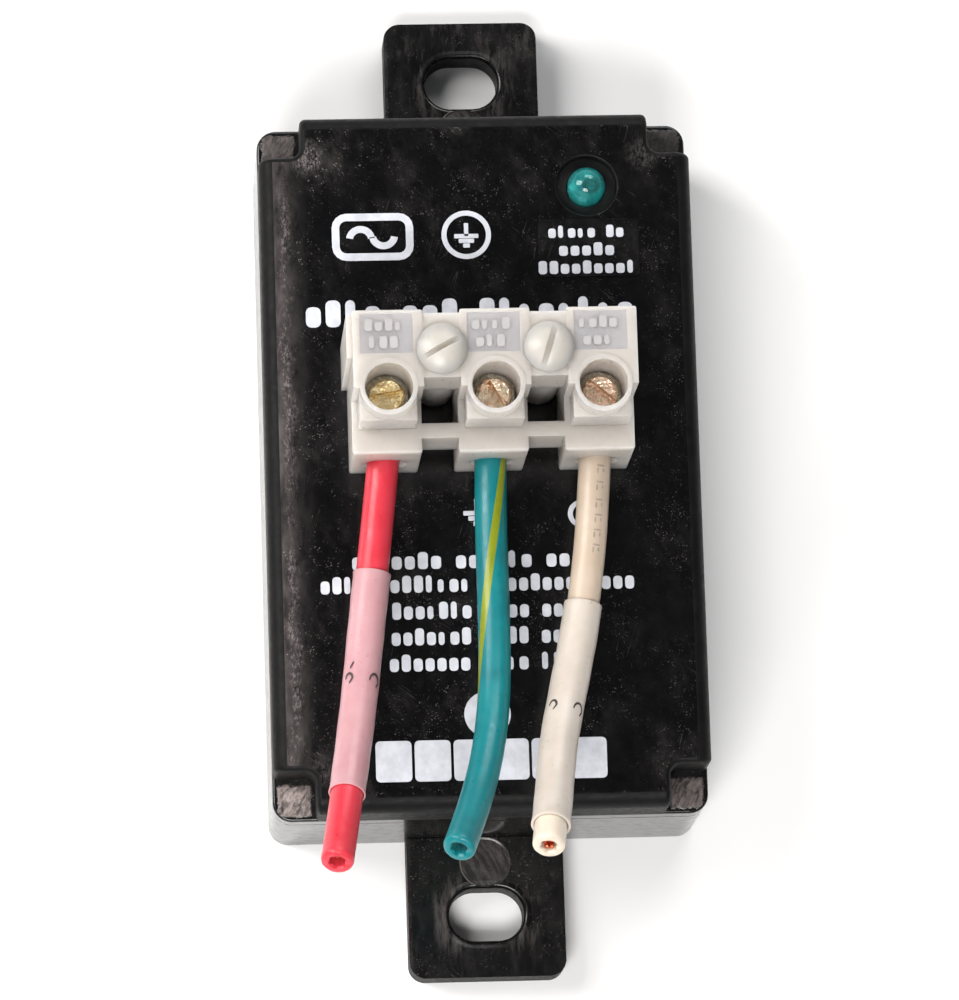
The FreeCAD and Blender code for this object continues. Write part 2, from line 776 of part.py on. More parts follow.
def make_clamps(index, pole):
    """Brass cage, clamp screw and spring guard of one terminal."""
    middle = pole_centre(index)
    half = d["cage_width"] / 2
    body = block(
        f"cage_{pole}",
        (middle - half, d["cage_front"], d["cage_bottom"]),
        (middle + half, d["cage_back"], d["cage_top"]),
    )
    half_tail = d["tail_width"] / 2
    tail = block(
        f"tail_{pole}",
        (middle - half_tail, d["tail_front"], d["tail_tip"]),
        (middle + half_tail, d["tail_back"], d["cage_bottom"] + 1),
    )
    solid = fused(f"cage_with_tail_{pole}", [body, tail])
    window_half = d["window_width"] / 2
    window = block(
        f"window_{pole}",
        (middle - window_half, d["cage_front"] - 1, d["window_bottom"]),
        (middle + window_half, d["cage_back"] + 1, d["window_top"]),
    )
    thread_width = d["clamp_width"] + d["running_gap"] * 2
    thread_end = d["clamp_tip"] - 0.5
    spot = (middle, d["block_step"], thread_end)
    thread = rod(f"thread_{pole}", spot, thread_width, d["cage_top"] + 1 - thread_end)
    cage = cut(f"clamp_cage_{pole}_cut", solid, [window, thread])
    keep(cage, f"clamp_cage_{pole}")

    spot = (middle, d["block_step"], d["clamp_tip"])
    shank = rod(f"shank_{pole}", spot, d["clamp_width"], d["clamp_top"] - d["clamp_tip"])
    slot_half = d["clamp_slot"] / 2
    reach = d["clamp_width"]
    slot = doc.addObject("Part::Box", f"driver_slot_{pole}")
    bind(slot, "Length", reach * 2)
    bind(slot, "Width", d["clamp_slot"])
    bind(slot, "Height", 2)
    turn = Rotation(Vector(0, 0, 1), SLOT_ANGLES[pole])
    corner = turn.multVec(Vector(-reach.value, -slot_half.value, 0))
    slot.Placement = Placement(corner, turn)
    bind(slot, "Placement.Base.x", middle + corner.x)
    bind(slot, "Placement.Base.y", d["block_step"] + corner.y)
    bind(slot, "Placement.Base.z", d["clamp_top"] - d["clamp_slot_depth"])
    slotted = cut(f"slotted_{pole}", shank, [slot])
    rimmed = doc.addObject("Part::Chamfer", f"clamp_screw_{pole}_rim")
    rimmed.Base = slotted
    bevel = d["clamp_tip_bevel"].value
    rimmed.Edges = [
        (row, bevel, bevel)
        for row, edge in enumerate(slotted.Shape.Edges, start=1)
        if lies_at(edge, d["clamp_tip"])
    ]
    doc.recompute()
    keep(rimmed, f"clamp_screw_{pole}")

    guard_top = d["clamp_tip"] - HAIR
    guard_half = window_half - 0.08
    plate = block(
        f"guard_plate_{pole}",
        (middle - guard_half, d["cage_front"] + 0.15, guard_top - d["guard_thickness"]),
        (middle + guard_half, d["cage_back"] - 0.1, guard_top),
    )
    keep(plate, f"wire_guard_{pole}")


SLOT_ANGLES = {"line": 10.0, "ground": -62.0, "neutral": -40.0}
FIXING_ANGLES = (28.0, 72.0)


def make_block_fixing_screws():
    """Two domed nylon screws that hold the terminal block to the cover."""
    screws = []
    for index, side in enumerate((-1, 1)):
        middle = d["block_across"] + d["pole_pitch"] * side / 2
        head_radius = d["fixing_head"].value / 2
        dome = d["fixing_dome"].value - d["fixing_rim"].value
        ball_radius = (head_radius ** 2 + dome ** 2) / (2 * dome)
        head_level = d["block_top"] + HAIR
        ball = doc.addObject("Part::Sphere", f"dome_ball_{index}")
        ball.Radius = ball_radius
        bind(ball, "Placement.Base.x", middle)
        bind(ball, "Placement.Base.y", d["fixing_along"])
        bind(ball, "Placement.Base.z", head_level + d["fixing_dome"] - ball_radius)
        spot = (middle, d["fixing_along"], head_level)
        disc = rod(f"head_disc_{index}", spot, d["fixing_head"], d["fixing_dome"] + 1)
        head = doc.addObject("Part::Common", f"domed_head_{index}")
        head.Base = ball
        head.Tool = disc
        spot = (middle, d["fixing_along"], d["fixing_tip"])
        shank_length = head_level + d["fixing_rim"] - d["fixing_tip"]
        shank = rod(f"fixing_shank_{index}", spot, d["fixing_shank"], shank_length)
        whole = fused(f"fixing_{index}", [head, shank])
        slot = doc.addObject("Part::Box", f"fixing_slot_{index}")
        bind(slot, "Length", d["fixing_head"] + 1)
        bind(slot, "Width", d["fixing_slot"])
        bind(slot, "Height", 2)
        turn = Rotation(Vector(0, 0, 1), FIXING_ANGLES[index])
        corner = turn.multVec(Vector(-head_radius - 0.5, -d["fixing_slot"].value / 2, 0))
        slot.Placement = Placement(corner, turn)
        bind(slot, "Placement.Base.x", middle + corner.x)
        bind(slot, "Placement.Base.y", d["fixing_along"] + corner.y)
        slot_level = head_level + d["fixing_dome"] - d["fixing_slot_depth"]
        bind(slot, "Placement.Base.z", slot_level)
        doc.recompute()
        screws.append(cut(f"fixing_slotted_{index}", whole, [slot]))
    keep(group("block_fixing_screws_group", screws), "block_fixing_screws")


# ---------------------------------------------------------------- wires

ROUTES = {
    "line": [
        (-7.88, 0.5, 20.9), (-8.60, -5.6, 20.8), (-9.68, -13.6, 21.6), (-10.45, -19.6, 22.9),
        (-11.30, -25.0, 24.7), (-12.20, -30.2, 27.4), (-12.75, -33.2, 29.5),
    ],
    "ground": [
        (0.30, 0.5, 20.9), (0.12, -5.8, 20.8), (0.15, -13.4, 21.3), (-0.05, -19.6, 22.4),
        (-0.85, -24.6, 24.2), (-2.30, -29.2, 26.9), (-3.60, -32.4, 29.5),
    ],
    "neutral": [
        (8.48, 0.5, 20.9), (8.10, -4.6, 20.8), (7.55, -9.6, 20.95), (6.55, -15.2, 21.6),
        (5.30, -20.4, 22.9), (4.45, -24.2, 24.4), (3.85, -28.6, 26.6), (3.20, -32.3, 29.1),
    ],
}
SLEEVED_RUNS = {"line": (1, 4), "neutral": (2, 6)}
CORE_INSET = 0.9
CORE_INNER_END = 5.6
BEND_SHARE = 0.45


def corner_radius(before, corner, after):
    """The largest tangent arc that the two runs at a corner allow."""
    back = before - corner
    forward = after - corner
    turn = math.pi - back.getAngle(forward)
    return BEND_SHARE * min(back.Length, forward.Length) / math.tan(turn / 2)


def smooth_path(points, radii):
    """Straight runs through the points, joined at each inner point by a tangent arc."""
    edges = []
    start = points[0]
    for index in range(1, len(points) - 1):
        corner = points[index]
        back = (points[index - 1] - corner).normalize()
        forward = (points[index + 1] - corner).normalize()
        turn = math.pi - back.getAngle(forward)
        radius = radii[index - 1]
        reach = radius * math.tan(turn / 2)
        first = corner + back * reach
        last = corner + forward * reach
        inward = (back + forward).normalize()
        middle = corner + inward * (radius / math.cos(turn / 2) - radius)
        edges.append(Part.LineSegment(start, first).toShape())
        edges.append(Part.Arc(first, middle, last).toShape())
        start = last
    edges.append(Part.LineSegment(start, points[-1]).toShape())
    return Part.Wire(edges)


def swept_bar(path, width):
    """A round bar of the given width along the path."""
    direction = path.Edges[0].tangentAt(path.Edges[0].FirstParameter)
    ring = Part.Wire(Part.makeCircle(width / 2, path.Edges[0].Vertexes[0].Point, direction))
    return path.makePipeShell([ring], True, False)


def swept_tube(path, outer, inner):
    return swept_bar(path, outer).cut(swept_bar(path, inner))


def make_wire(index, pole):
    """Insulation, copper core and, on two wires, a marking sleeve along one route."""
    points = [Vector(*point) for point in ROUTES[pole]]
    triples = zip(points, points[1:], points[2:])
    radii = [corner_radius(*triple) for triple in triples]
    path = smooth_path(points, radii)
    outer, core = d["wire_width"].value, d["wire_core"].value
    insulation = swept_tube(path, outer, core + 0.04)
    section = math.pi / 4 * (outer ** 2 - (core + 0.04) ** 2)
    print(
        f"wire_{pole}: length {path.Length:.2f}, bend radii",
        [round(radius, 1) for radius in radii],
        f"volume share {insulation.Volume / (section * path.Length):.4f}",
    )
    keep(plain_feature(f"insulation_{pole}", insulation), f"wire_insulation_{pole}")

    last_run = (points[-1] - points[-2]).normalize()
    inner_end = Vector(points[0].x, CORE_INNER_END, points[0].z)
    core_points = [points[0]] + points[1:-1] + [points[-1] - last_run * CORE_INSET]
    core_path = smooth_path(core_points, radii)
    strand_bar = swept_bar(core_path, core)
    bare = Part.makeCylinder(core / 2, (inner_end - points[0]).Length, points[0], Vector(0, 1, 0))
    conductor = strand_bar.fuse(bare).removeSplitter()
    keep(plain_feature(f"conductor_{pole}", conductor), f"wire_conductor_{pole}")

    if pole in SLEEVED_RUNS:
        first, last = SLEEVED_RUNS[pole]
        start = (points[first] + points[first + 1]) * 0.5
        stop = (points[last] + points[last + 1]) * 0.5
        sleeve_points = [start] + points[first + 1:last + 1] + [stop]
        sleeve_path = smooth_path(sleeve_points, radii[first:last])
        sleeve = swept_tube(sleeve_path, d["sleeve_width"].value, d["sleeve_bore"].value)
        keep(plain_feature(f"sleeve_{pole}", sleeve), f"wire_sleeve_{pole}")


# ---------------------------------------------------------------- circuit inside


def make_circuit_board():
    """The board on its four standoffs, with holes for its screws."""
    body = new_body("circuit_board_body")
    outline = flat_sketch(body, "board_outline", d["board_level"] + HAIR)
    half_width, half_length = d["board_width"] / 2, d["board_length"] / 2
    draw_rectangle(outline, -half_width, half_width, -half_length, half_length)
    for side_x in (-1, 1):
        for side_y in (-1, 1):
            spot = (d["standoff_across"] * side_x, d["standoff_along"] * side_y)
            draw_circle(outline, *spot, d["board_screw_hole"])
    for across, along in VARISTOR_FEET:
        draw_circle(outline, across, along, d["leg_hole"])
    for side in (-1, 1):
        across = d["lamp_across"] + d["lamp_leg_pitch"] * side / 2
        draw_circle(outline, across, d["lamp_along"], d["leg_hole"])
    for across, lean in JUMPERS.values():
        draw_circle(outline, across + lean, JUMPER_FOOT_ALONG, d["jumper_hole"])
    pad(body, outline, d["board_thickness"])
    edge_treatment(
        body, "Fillet", "board_corners", d["board_corner"],
        lambda edge: is_upright(edge) and abs(edge.BoundBox.XMin) > half_width.value - 0.01,
    )
    keep(body, "circuit_board")

    screws = []
    for side_x in (-1, 1):
        for side_y in (-1, 1):
            across = d["standoff_across"] * side_x
            along = d["standoff_along"] * side_y
            top = d["board_level"] + d["board_thickness"] + HAIR * 2
            name = f"board_screw_{len(screws)}"
            spot = (across, along, top)
            head = rod(f"{name}_head", spot, d["board_screw_head"], d["board_screw_rise"])
            reach = d["board_screw_reach"]
            spot = (across, along, top - reach)
            shank = rod(f"{name}_shank", spot, d["board_screw_shank"], reach + 0.2)
            slot = block(
                f"{name}_slot",
                (across - 2, along - 0.2, top + 0.6),
                (across + 2, along + 0.2, top + 3),
            )
            screws.append(cut(name, fused(f"{name}_whole", [head, shank]), [slot]))
    keep(group("board_screws_group", screws), "board_screws")


VARISTORS = {
    "line_neutral": (-6.1, -10.4),
    "neutral_ground": (6.3, -10.4),
    "line_ground": (-6.1, 13.2),
}
LEG_SPREAD = 3.6
LEG_WIDTH = 0.8
LEG_REACH = 7.6
LEG_FOOT_LEVEL = 3.2
DISC_CLEARANCE = 0.9
BOARD_TOP = DIMENSIONS["board_level"] + DIMENSIONS["board_thickness"] + HAIR
VARISTOR_FEET = [
    (across + side * LEG_SPREAD, along - LEG_REACH)
    for across, along in VARISTORS.values()
    for side in (-1, 1)
]


def make_varistors():
    """Three coated discs lying above the board, each with two bent legs."""
    legs = []
    for name, (across, along) in VARISTORS.items():
        level = BOARD_TOP + DISC_CLEARANCE
        spot = (across, along, level)
        disc = rod(f"disc_{name}", spot, d["varistor_width"], d["varistor_thickness"])
        doc.recompute()
        coated = doc.addObject("Part::Fillet", f"coated_{name}")
        coated.Base = disc
        rim_levels = (as_size(level), d["varistor_thickness"] + level)
        rim = d["varistor_rim"].value
        coated.Edges = [
            (row, rim, rim)
            for row, edge in enumerate(disc.Shape.Edges, start=1)
            if any(lies_at(edge, rim_level) for rim_level in rim_levels)
        ]
        keep(coated, f"varistor_{name}")
        middle = level + d["varistor_thickness"].value / 2
        disc_radius = d["varistor_width"].value / 2
        inner_side = LEG_SPREAD - LEG_WIDTH / 2
        touch = along - math.sqrt(disc_radius ** 2 - inner_side ** 2) - HAIR
        foot = along - LEG_REACH
        for side in (-1, 1):
            x = across + side * LEG_SPREAD
            route = [Vector(x, touch, middle), Vector(x, foot, middle), Vector(x, foot, LEG_FOOT_LEVEL)]
            legs.append(swept_bar(smooth_path(route, [1.0]), LEG_WIDTH))
    keep(plain_feature("varistor_legs_all", Part.makeCompound(legs)), "varistor_legs")


def axial_part(name, centre, width, length, direction):
    """A round-ended axial component lying just above the board, along X or Y."""
    level = BOARD_TOP + width / 2 + AXIAL_CLEARANCE
    half = direction * (length / 2)
    start = Vector(centre[0], centre[1], level) - half
    barrel = Part.makeCylinder(width / 2, length, start, direction)
    ends = [edge for edge in barrel.Edges if edge.Length < math.pi * width + 0.01 and edge.Closed]
    return barrel.makeFillet(width * 0.18, ends)


def axial_legs(centre, width, length, direction, reach):
    """The two legs of an axial component, bent down into the board."""
    level = BOARD_TOP + width / 2 + AXIAL_CLEARANCE
    middle = Vector(centre[0], centre[1], level)
    legs = []
    for side in (-1, 1):
        root = middle + direction * (side * (length / 2 + HAIR))
        bend = middle + direction * (side * (length / 2 + reach))
        foot = Vector(bend.x, bend.y, BOARD_TOP + HAIR)
        legs.append(swept_bar(smooth_path([root, bend, foot], [AXIAL_LEG]), AXIAL_LEG))
    return legs


AXIAL_CLEARANCE = 0.15
AXIAL_LEG = 0.6
AXIAL_REACH = 1.5
ACROSS = Vector(1, 0, 0)
ALONG = Vector(0, 1, 0)
AXIAL_PARTS = {
    "line_fuse": ((-6.1, 1.6), 3.0, 7.6, ACROSS),
    "thermal_cutoff_line": ((1.5, 13.6), 2.4, 7.2, ALONG),
    "thermal_cutoff_neutral": ((5.5, 0.8), 2.4, 7.2, ACROSS),
    "indicator_resistor": ((5.0, 13.6), 2.2, 6.0, ALONG),
    "indicator_diode": ((9.3, 13.4), 2.4, 4.6, ALONG),
}


def make_axial_parts():
    legs = []
    for name, (centre, width, length, direction) in AXIAL_PARTS.items():
        shape = axial_part(name, centre, width, length, direction)
        keep(plain_feature(f"{name}_barrel", shape), name)
        legs += axial_legs(centre, width, length, direction, AXIAL_REACH)
    keep(plain_feature("axial_legs_all", Part.makeCompound(legs)), "component_legs")


JUMPERS = {"line": (-7.88, 0.9), "ground": (0.3, 0.0), "neutral": (8.48, -0.9)}
JUMPER_TOP_ALONG = 5.5
JUMPER_FOOT_ALONG = 6.1
JUMPER_WIDTH = 1.5


def make_internal_leads():
    """Solid jumpers from the three terminal tails down through the board."""
    for pole, (across, lean) in JUMPERS.items():
        top = Vector(across, JUMPER_TOP_ALONG, DIMENSIONS["tail_tip"] - HAIR)
        knee = Vector(across, JUMPER_TOP_ALONG, 11.6)
        heel = Vector(across + lean, JUMPER_FOOT_ALONG, 8.6)
        foot = Vector(across + lean, JUMPER_FOOT_ALONG, 3.6)
        radii = [corner_radius(top, knee, heel), corner_radius(knee, heel, foot)]
        path = smooth_path([top, knee, heel, foot], radii)
        keep(plain_feature(f"jumper_{pole}", swept_bar(path, JUMPER_WIDTH)), f"internal_lead_{pole}")


# ---------------------------------------------------------------- build, check, write


def check_and_write():
    doc.recompute()
    for item in doc.Objects:
        if "Invalid" in item.State or "Error" in item.State:
            raise RuntimeError(f"{item.Name} ({item.Label}) is in state {item.State}")
    os.makedirs("parts", exist_ok=True)
    for item in SUB_PARTS:
        shape = item.Shape
        if shape.isNull() or not shape.isValid() or not shape.Solids:
            raise RuntimeError(f"{item.Label} has no valid solid")
        shape.exportStep(os.path.join("parts", f"{item.Label}.step"))
        print(f"{item.Label}: {len(shape.Solids)} solid(s), {shape.Volume:.2f} mm3")


make_rear_housing()
make_front_cover()
make_status_label()
make_indicator_lamp()
make_terminal_block()
for pole_index, pole_name in enumerate(POLES):
    make_clamps(pole_index, pole_name)
make_block_fixing_screws()
make_circuit_board()
make_varistors()
make_axial_parts()
make_internal_leads()
for pole_index, pole_name in enumerate(POLES):
    make_wire(pole_index, pole_name)
check_and_write()
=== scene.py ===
"""Looks for the panel surge protector: camera, light, materials, wires, print and fine detail.

Metres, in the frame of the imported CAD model: +Z out of the front, +Y towards the lamp end.
Sizes in the functions below are millimetres, turned into metres by MM.
"""

import math
import random

import bmesh
import bpy
from mathutils import Euler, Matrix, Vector


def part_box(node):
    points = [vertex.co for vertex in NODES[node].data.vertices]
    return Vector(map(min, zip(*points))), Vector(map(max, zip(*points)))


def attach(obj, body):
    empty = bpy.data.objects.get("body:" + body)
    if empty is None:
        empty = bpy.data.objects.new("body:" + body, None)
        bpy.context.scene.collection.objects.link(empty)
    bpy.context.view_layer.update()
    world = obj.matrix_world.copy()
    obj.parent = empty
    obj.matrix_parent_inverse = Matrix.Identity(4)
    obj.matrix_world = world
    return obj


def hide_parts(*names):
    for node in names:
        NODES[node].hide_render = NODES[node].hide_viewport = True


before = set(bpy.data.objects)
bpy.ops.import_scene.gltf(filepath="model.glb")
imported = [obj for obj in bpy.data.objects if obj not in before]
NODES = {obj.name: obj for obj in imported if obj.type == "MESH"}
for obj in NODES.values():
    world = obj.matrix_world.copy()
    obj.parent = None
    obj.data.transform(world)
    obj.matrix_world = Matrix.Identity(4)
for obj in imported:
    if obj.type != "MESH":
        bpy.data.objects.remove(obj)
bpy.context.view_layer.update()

MM = 0.001
ROOT = "enclosure"
POLES = ("line", "ground", "neutral")

# -------------------- places read from the frame


def box_mm(node):
    low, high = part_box(node)
    return low / MM, high / MM


FACE = box_mm("front_cover")[1].z
LABEL_TOP = box_mm("status_label")[1].z
LENS_LOW, LENS_HIGH = box_mm("indicator_lens")
LAMP_X = (LENS_LOW.x + LENS_HIGH.x) / 2
LAMP_Y = (LENS_LOW.y + LENS_HIGH.y) / 2

# The CAD's own millimetres: tops of the corner posts, middles of the cover's notches, start of the
# tabs, their slots (middle, half the straight run, end radius), their ejector marks, and the
# terminal block's top, its sunk marking fields and its three poles.
POST_TOP = 12.8
NOTCH_X, NOTCH_Y = 13.3, 24.3
TAB_START = 27.75
TAB_SLOT_Y, TAB_SLOT_RUN, TAB_SLOT_RADIUS = 33.95, 0.875, 2.1
EJECTOR_Y, EJECTOR_RADIUS = 29.8, 1.97
BLOCK_TOP = 30.4
FIELD_DEPTH = 0.12
POLE_MIDDLE, POLE_PITCH = 0.3, 8.18

# Limits of a face normal's Z share: below FLAT a face slopes, and below STEEP it is a wall.
FLAT = 0.985
STEEP = 0.55

# -------------------- material helpers


def tone(red, green, blue):
    """A display colour as the linear triple that shaders take."""
    return tuple(
        part / 12.92 if part <= 0.04045 else ((part + 0.055) / 1.055) ** 2.4
        for part in (red, green, blue)
    )


class Paint:
    """A node material: the shader's own sockets hold constants, textures are linked in.

    Colours are display colours, as (red, green, blue).
    """

    def __init__(self, name, color, roughness=0.5, **sockets):
        self.material = bpy.data.materials.new(name)
        self.material.use_nodes = True
        self.tree = self.material.node_tree
        self.shader = self.tree.nodes["Principled BSDF"]
        self.fill(self.shader, Base_Color=(*tone(*color), 1.0), Roughness=roughness, **sockets)
        coords = self.node("TexCoord")
        scale = self.node("Mapping", Scale=(1 / MM, 1 / MM, 1 / MM))
        self.link(coords.outputs["Object"], scale.inputs["Vector"])
        self.millimetres = scale.outputs["Vector"]

    @staticmethod
    def fill(node, **values):
        """Set constants on a node's sockets, whose names have _ for a space here."""
        for name, value in values.items():
            node.inputs[name.replace("_", " ")].default_value = value
        return node

    def node(self, kind, **values):
        return self.fill(self.tree.nodes.new(f"ShaderNode{kind}"), **values)

    def link(self, source, target):
        self.tree.links.new(source, target)

    def set(self, socket, source):
        self.link(source, self.shader.inputs[socket])

    def stretched(self, scale, turn=0.0):
        """Millimetre coordinates turned about Z and scaled, for streaks that run one way."""
        turned = self.node("Mapping", Rotation=(0, 0, math.radians(turn)))
        self.link(self.millimetres, turned.inputs["Vector"])
        node = self.node("Mapping", Scale=scale)
        self.link(turned.outputs["Vector"], node.inputs["Vector"])
        return node.outputs["Vector"]

    def noise(self, scale, detail=3.0, roughness=0.6, vector=None):
        node = self.node("TexNoise", Scale=scale, Detail=detail, Roughness=roughness)
        self.link(vector or self.millimetres, node.inputs["Vector"])
        return node.outputs["Fac"]

    def cells(self, scale):
        """Distance to the nearest of many scattered points, in cell widths."""
        node = self.node("TexVoronoi", Scale=scale)
        self.link(self.millimetres, node.inputs["Vector"])
        return node.outputs["Distance"]

    def ramp(self, source, low, high, from_value=0.0, to_value=1.0):
        """Carry the span low..high of the source over to from_value..to_value, clamped."""
        node = self.node(
            "MapRange", From_Min=low, From_Max=high, To_Min=from_value, To_Max=to_value
        )
        self.link(source, node.inputs["Value"])
        return node.outputs["Result"]

    def maths(self, operation, first, second=None):
        node = self.node("Math")
        node.operation = operation
        for socket, value in zip(node.inputs, (first, second)):
            if value is None:
                continue
            if isinstance(value, (int, float)):
                socket.default_value = value
            else:
                self.link(value, socket)
        return node.outputs["Value"]

    def fold(self, operation, sources):
        result = sources[0]
        for source in sources[1:]:
            result = self.maths(operation, result, source)
        return result

    def times(self, *sources):
        return self.fold("MULTIPLY", sources)

    def most(self, *sources):
        return self.fold("MAXIMUM", sources)

    def less(self, first, second):
        return self.maths("SUBTRACT", first, second)

    def apart(self, first, second):
        """How far two values are from each other."""
        return self.maths("ABSOLUTE", self.less(first, second))

    def reach(self, across, along):
        """Distance from a point, given as the two differences to it."""
        squares = self.maths("ADD", self.times(across, across), self.times(along, along))
        return self.maths("SQRT", squares)

    def parts(self, vector):
        node = self.node("SeparateXYZ")
        self.link(vector, node.inputs["Vector"])
        return node.outputs

    def place(self):
        """The three millimetre coordinates, apart."""
        return self.parts(self.millimetres)

    def facing_up(self):
        """How far the surface faces +Z, from -1 to 1."""
        return self.parts(self.node("NewGeometry").outputs["Normal"])["Z"]

    def mix(self, factor, first, second):
        """Blend two colours, each a display colour or a socket."""
        node = self.node("Mix")
        node.data_type = "RGBA"
        self.link(factor, node.inputs["Factor"])
        for name, value in (("A", first), ("B", second)):
            socket = next(s for s in node.inputs if s.name == name and s.type == "RGBA")
            if isinstance(value, tuple):
                socket.default_value = (*tone(*value), 1.0)
            else:
                self.link(value, socket)
        return next(s for s in node.outputs if s.type == "RGBA")

    def worn(self, scale, detail, low, high):
        """Let the roughness wander between two values."""
        self.set("Roughness", self.ramp(self.noise(scale, detail), 0.3, 0.7, low, high))

    def clouded(self, color, shade, scale, detail=3, low=0.36, high=0.68):
        """Two colours blended by soft clouds."""
        return self.mix(self.ramp(self.noise(scale, detail), low, high), color, shade)

    def bump(self, height, depth, strength=1.0):
        """Relief of the given depth in millimetres; later calls stack on earlier ones."""
        node = self.node("Bump", Strength=strength, Distance=depth * MM)
        self.link(height, node.inputs["Height"])
        normal = self.shader.inputs["Normal"]
        if normal.links:
            self.link(normal.links[0].from_socket, node.inputs["Normal"])
        self.link(node.outputs["Normal"], normal)


def dress(names, paint):
    """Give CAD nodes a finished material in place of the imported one."""
    for name in names:
        mesh = NODES[name].data
        mesh.materials.clear()
        mesh.materials.append(paint.material)


def dress_walls(name, paint, is_wall):
    """Give some faces of a CAD node a second material, picked by centre and normal in mm."""
    mesh = NODES[name].data
    mesh.materials.append(paint.material)
    index = len(mesh.materials) - 1
    for face in mesh.polygons:
        if is_wall(face.center / MM, face.normal):
            face.material_index = index


def add_piece(name, builder, paints, body=ROOT, stands_for=()):
    """Show what a builder holds as a piece: its paints, the body it rides, what it stands for."""
    mesh = finished_mesh(name, builder)
    for paint in paints:
        mesh.materials.append(paint.material)
    item = bpy.data.objects.new(name, mesh)
    bpy.context.scene.collection.objects.link(item)
    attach(item, body)
    if stands_for:
        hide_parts(*stands_for)
    return item


# -------------------- camera, light and floor


def place_camera():
    camera = bpy.data.cameras.new("camera")
    camera.lens = 227.7
    camera.sensor_width = 36.0
    camera.clip_start = 0.01
    camera.clip_end = 5.0
    item = bpy.data.objects.new("camera", camera)
    item.location = (-0.03097, -0.09782, 0.49947)
    item.rotation_euler = Euler([math.radians(angle) for angle in (11.17, -3.277, -1.758)])
    bpy.context.scene.collection.objects.link(item)
    bpy.context.scene.camera = item


def soft_light(name, place, size, power, color=(1, 1, 1)):
    """A soft box aimed at the middle of the object."""
    light = bpy.data.lights.new(name, "AREA")
    light.shape = "RECTANGLE"
    light.size, light.size_y = size
    light.energy = power
    light.color = color
    item = bpy.data.objects.new(name, light)
    item.location = place
    aim = Vector((0, 0, 0.01)) - Vector(place)
    item.rotation_euler = aim.to_track_quat("-Z", "Y").to_euler()
    bpy.context.scene.collection.objects.link(item)


def light_scene():
    world = bpy.data.worlds.new("room")
    world.use_nodes = True
    sky = world.node_tree.nodes["Background"].inputs
    sky["Color"].default_value = (0.95, 0.97, 1.0, 1)
    sky["Strength"].default_value = 0.1
    bpy.context.scene.world = world
    soft_light("left_window", (-0.42, 0.16, 0.42), (0.25, 0.40), 3.0, (1.0, 0.98, 0.96))
    soft_light("back_fill", (0.16, 0.55, 0.45), (0.50, 0.25), 2.2)
    soft_light("near_fill", (-0.10, -0.34, 0.52), (0.30, 0.22), 3.6, (1.0, 0.985, 0.97))
    bpy.context.scene.view_settings.view_transform = "Standard"


FLOOR_GAP = 0.05


def lay_floor():
    side = 3.0
    mesh = bpy.data.meshes.new("floor")
    corners = [(-side, -side, 0), (side, -side, 0), (side, side, 0), (-side, side, 0)]
    mesh.from_pydata(corners, [], [(0, 1, 2, 3)])
    floor = bpy.data.objects.new("floor", mesh)
    floor.location.z = -FLOOR_GAP * MM
    paint = Paint("floor_card", (0.9686, 0.9686, 0.9686), 0.8)
    mesh.materials.append(paint.material)
    bpy.context.scene.collection.objects.link(floor)


# -------------------- case materials


MOULDING_DUST = (0.60, 0.57, 0.56)


def add_dust(paint, clear, dust, amount, pale_marks=None):
    """Pale specks, soft smears and a few hairline scratches over a clear colour, joined by any
    other pale marks given, which may be painted highlights.
    """
    patches = paint.ramp(paint.noise(0.22, 4, 0.6), 0.43, 0.64)
    fine = paint.ramp(paint.cells(5.2), 0.12, 0.32, 1.0, 0.0)
    fine = paint.times(fine, paint.ramp(paint.noise(1.7, 3), 0.50, 0.62))
    coarse = paint.ramp(paint.cells(1.2), 0.04, 0.12, 1.0, 0.0)
    coarse = paint.times(coarse, paint.ramp(paint.noise(2.6, 3), 0.47, 0.6))
    blots = paint.times(paint.ramp(paint.noise(3.1, 5, 0.75), 0.59, 0.76), 0.6)
    grains = paint.times(paint.most(fine, coarse, blots), paint.ramp(patches, 0, 1, 0.10, 1.0))

    scratches = []
    for turn, wave in ((17, 0.5), (-52, 0.61)):
        lines = paint.noise(wave, 1.5, 0.5, paint.stretched((6.0, 0.16, 6.0), turn))
        thin = paint.ramp(paint.apart(lines, 0.53), 0.0, 0.009, 1.0, 0.0)
        broken = paint.noise(0.30, 2, 0.5, paint.stretched((1, 1, 1), turn + 30))
        broken = paint.ramp(broken, 0.60, 0.70)
        scratches.append(paint.times(thin, broken, 0.32))

    smear = paint.ramp(paint.noise(0.6, 5, 0.7, paint.stretched((1.0, 0.55, 1.0), -20)), 0.46, 0.8)
    smear = paint.times(smear, paint.ramp(patches, 0, 1, 0.25, 1.0), 0.15)
    mask = paint.times(paint.most(grains, smear, *scratches), amount)
    # other pale marks given may be painted highlights; they take the dust colour too
    if pale_marks:
        mask = paint.most(mask, pale_marks)
    paint.set("Base Color", paint.mix(mask, clear, dust))
    return mask


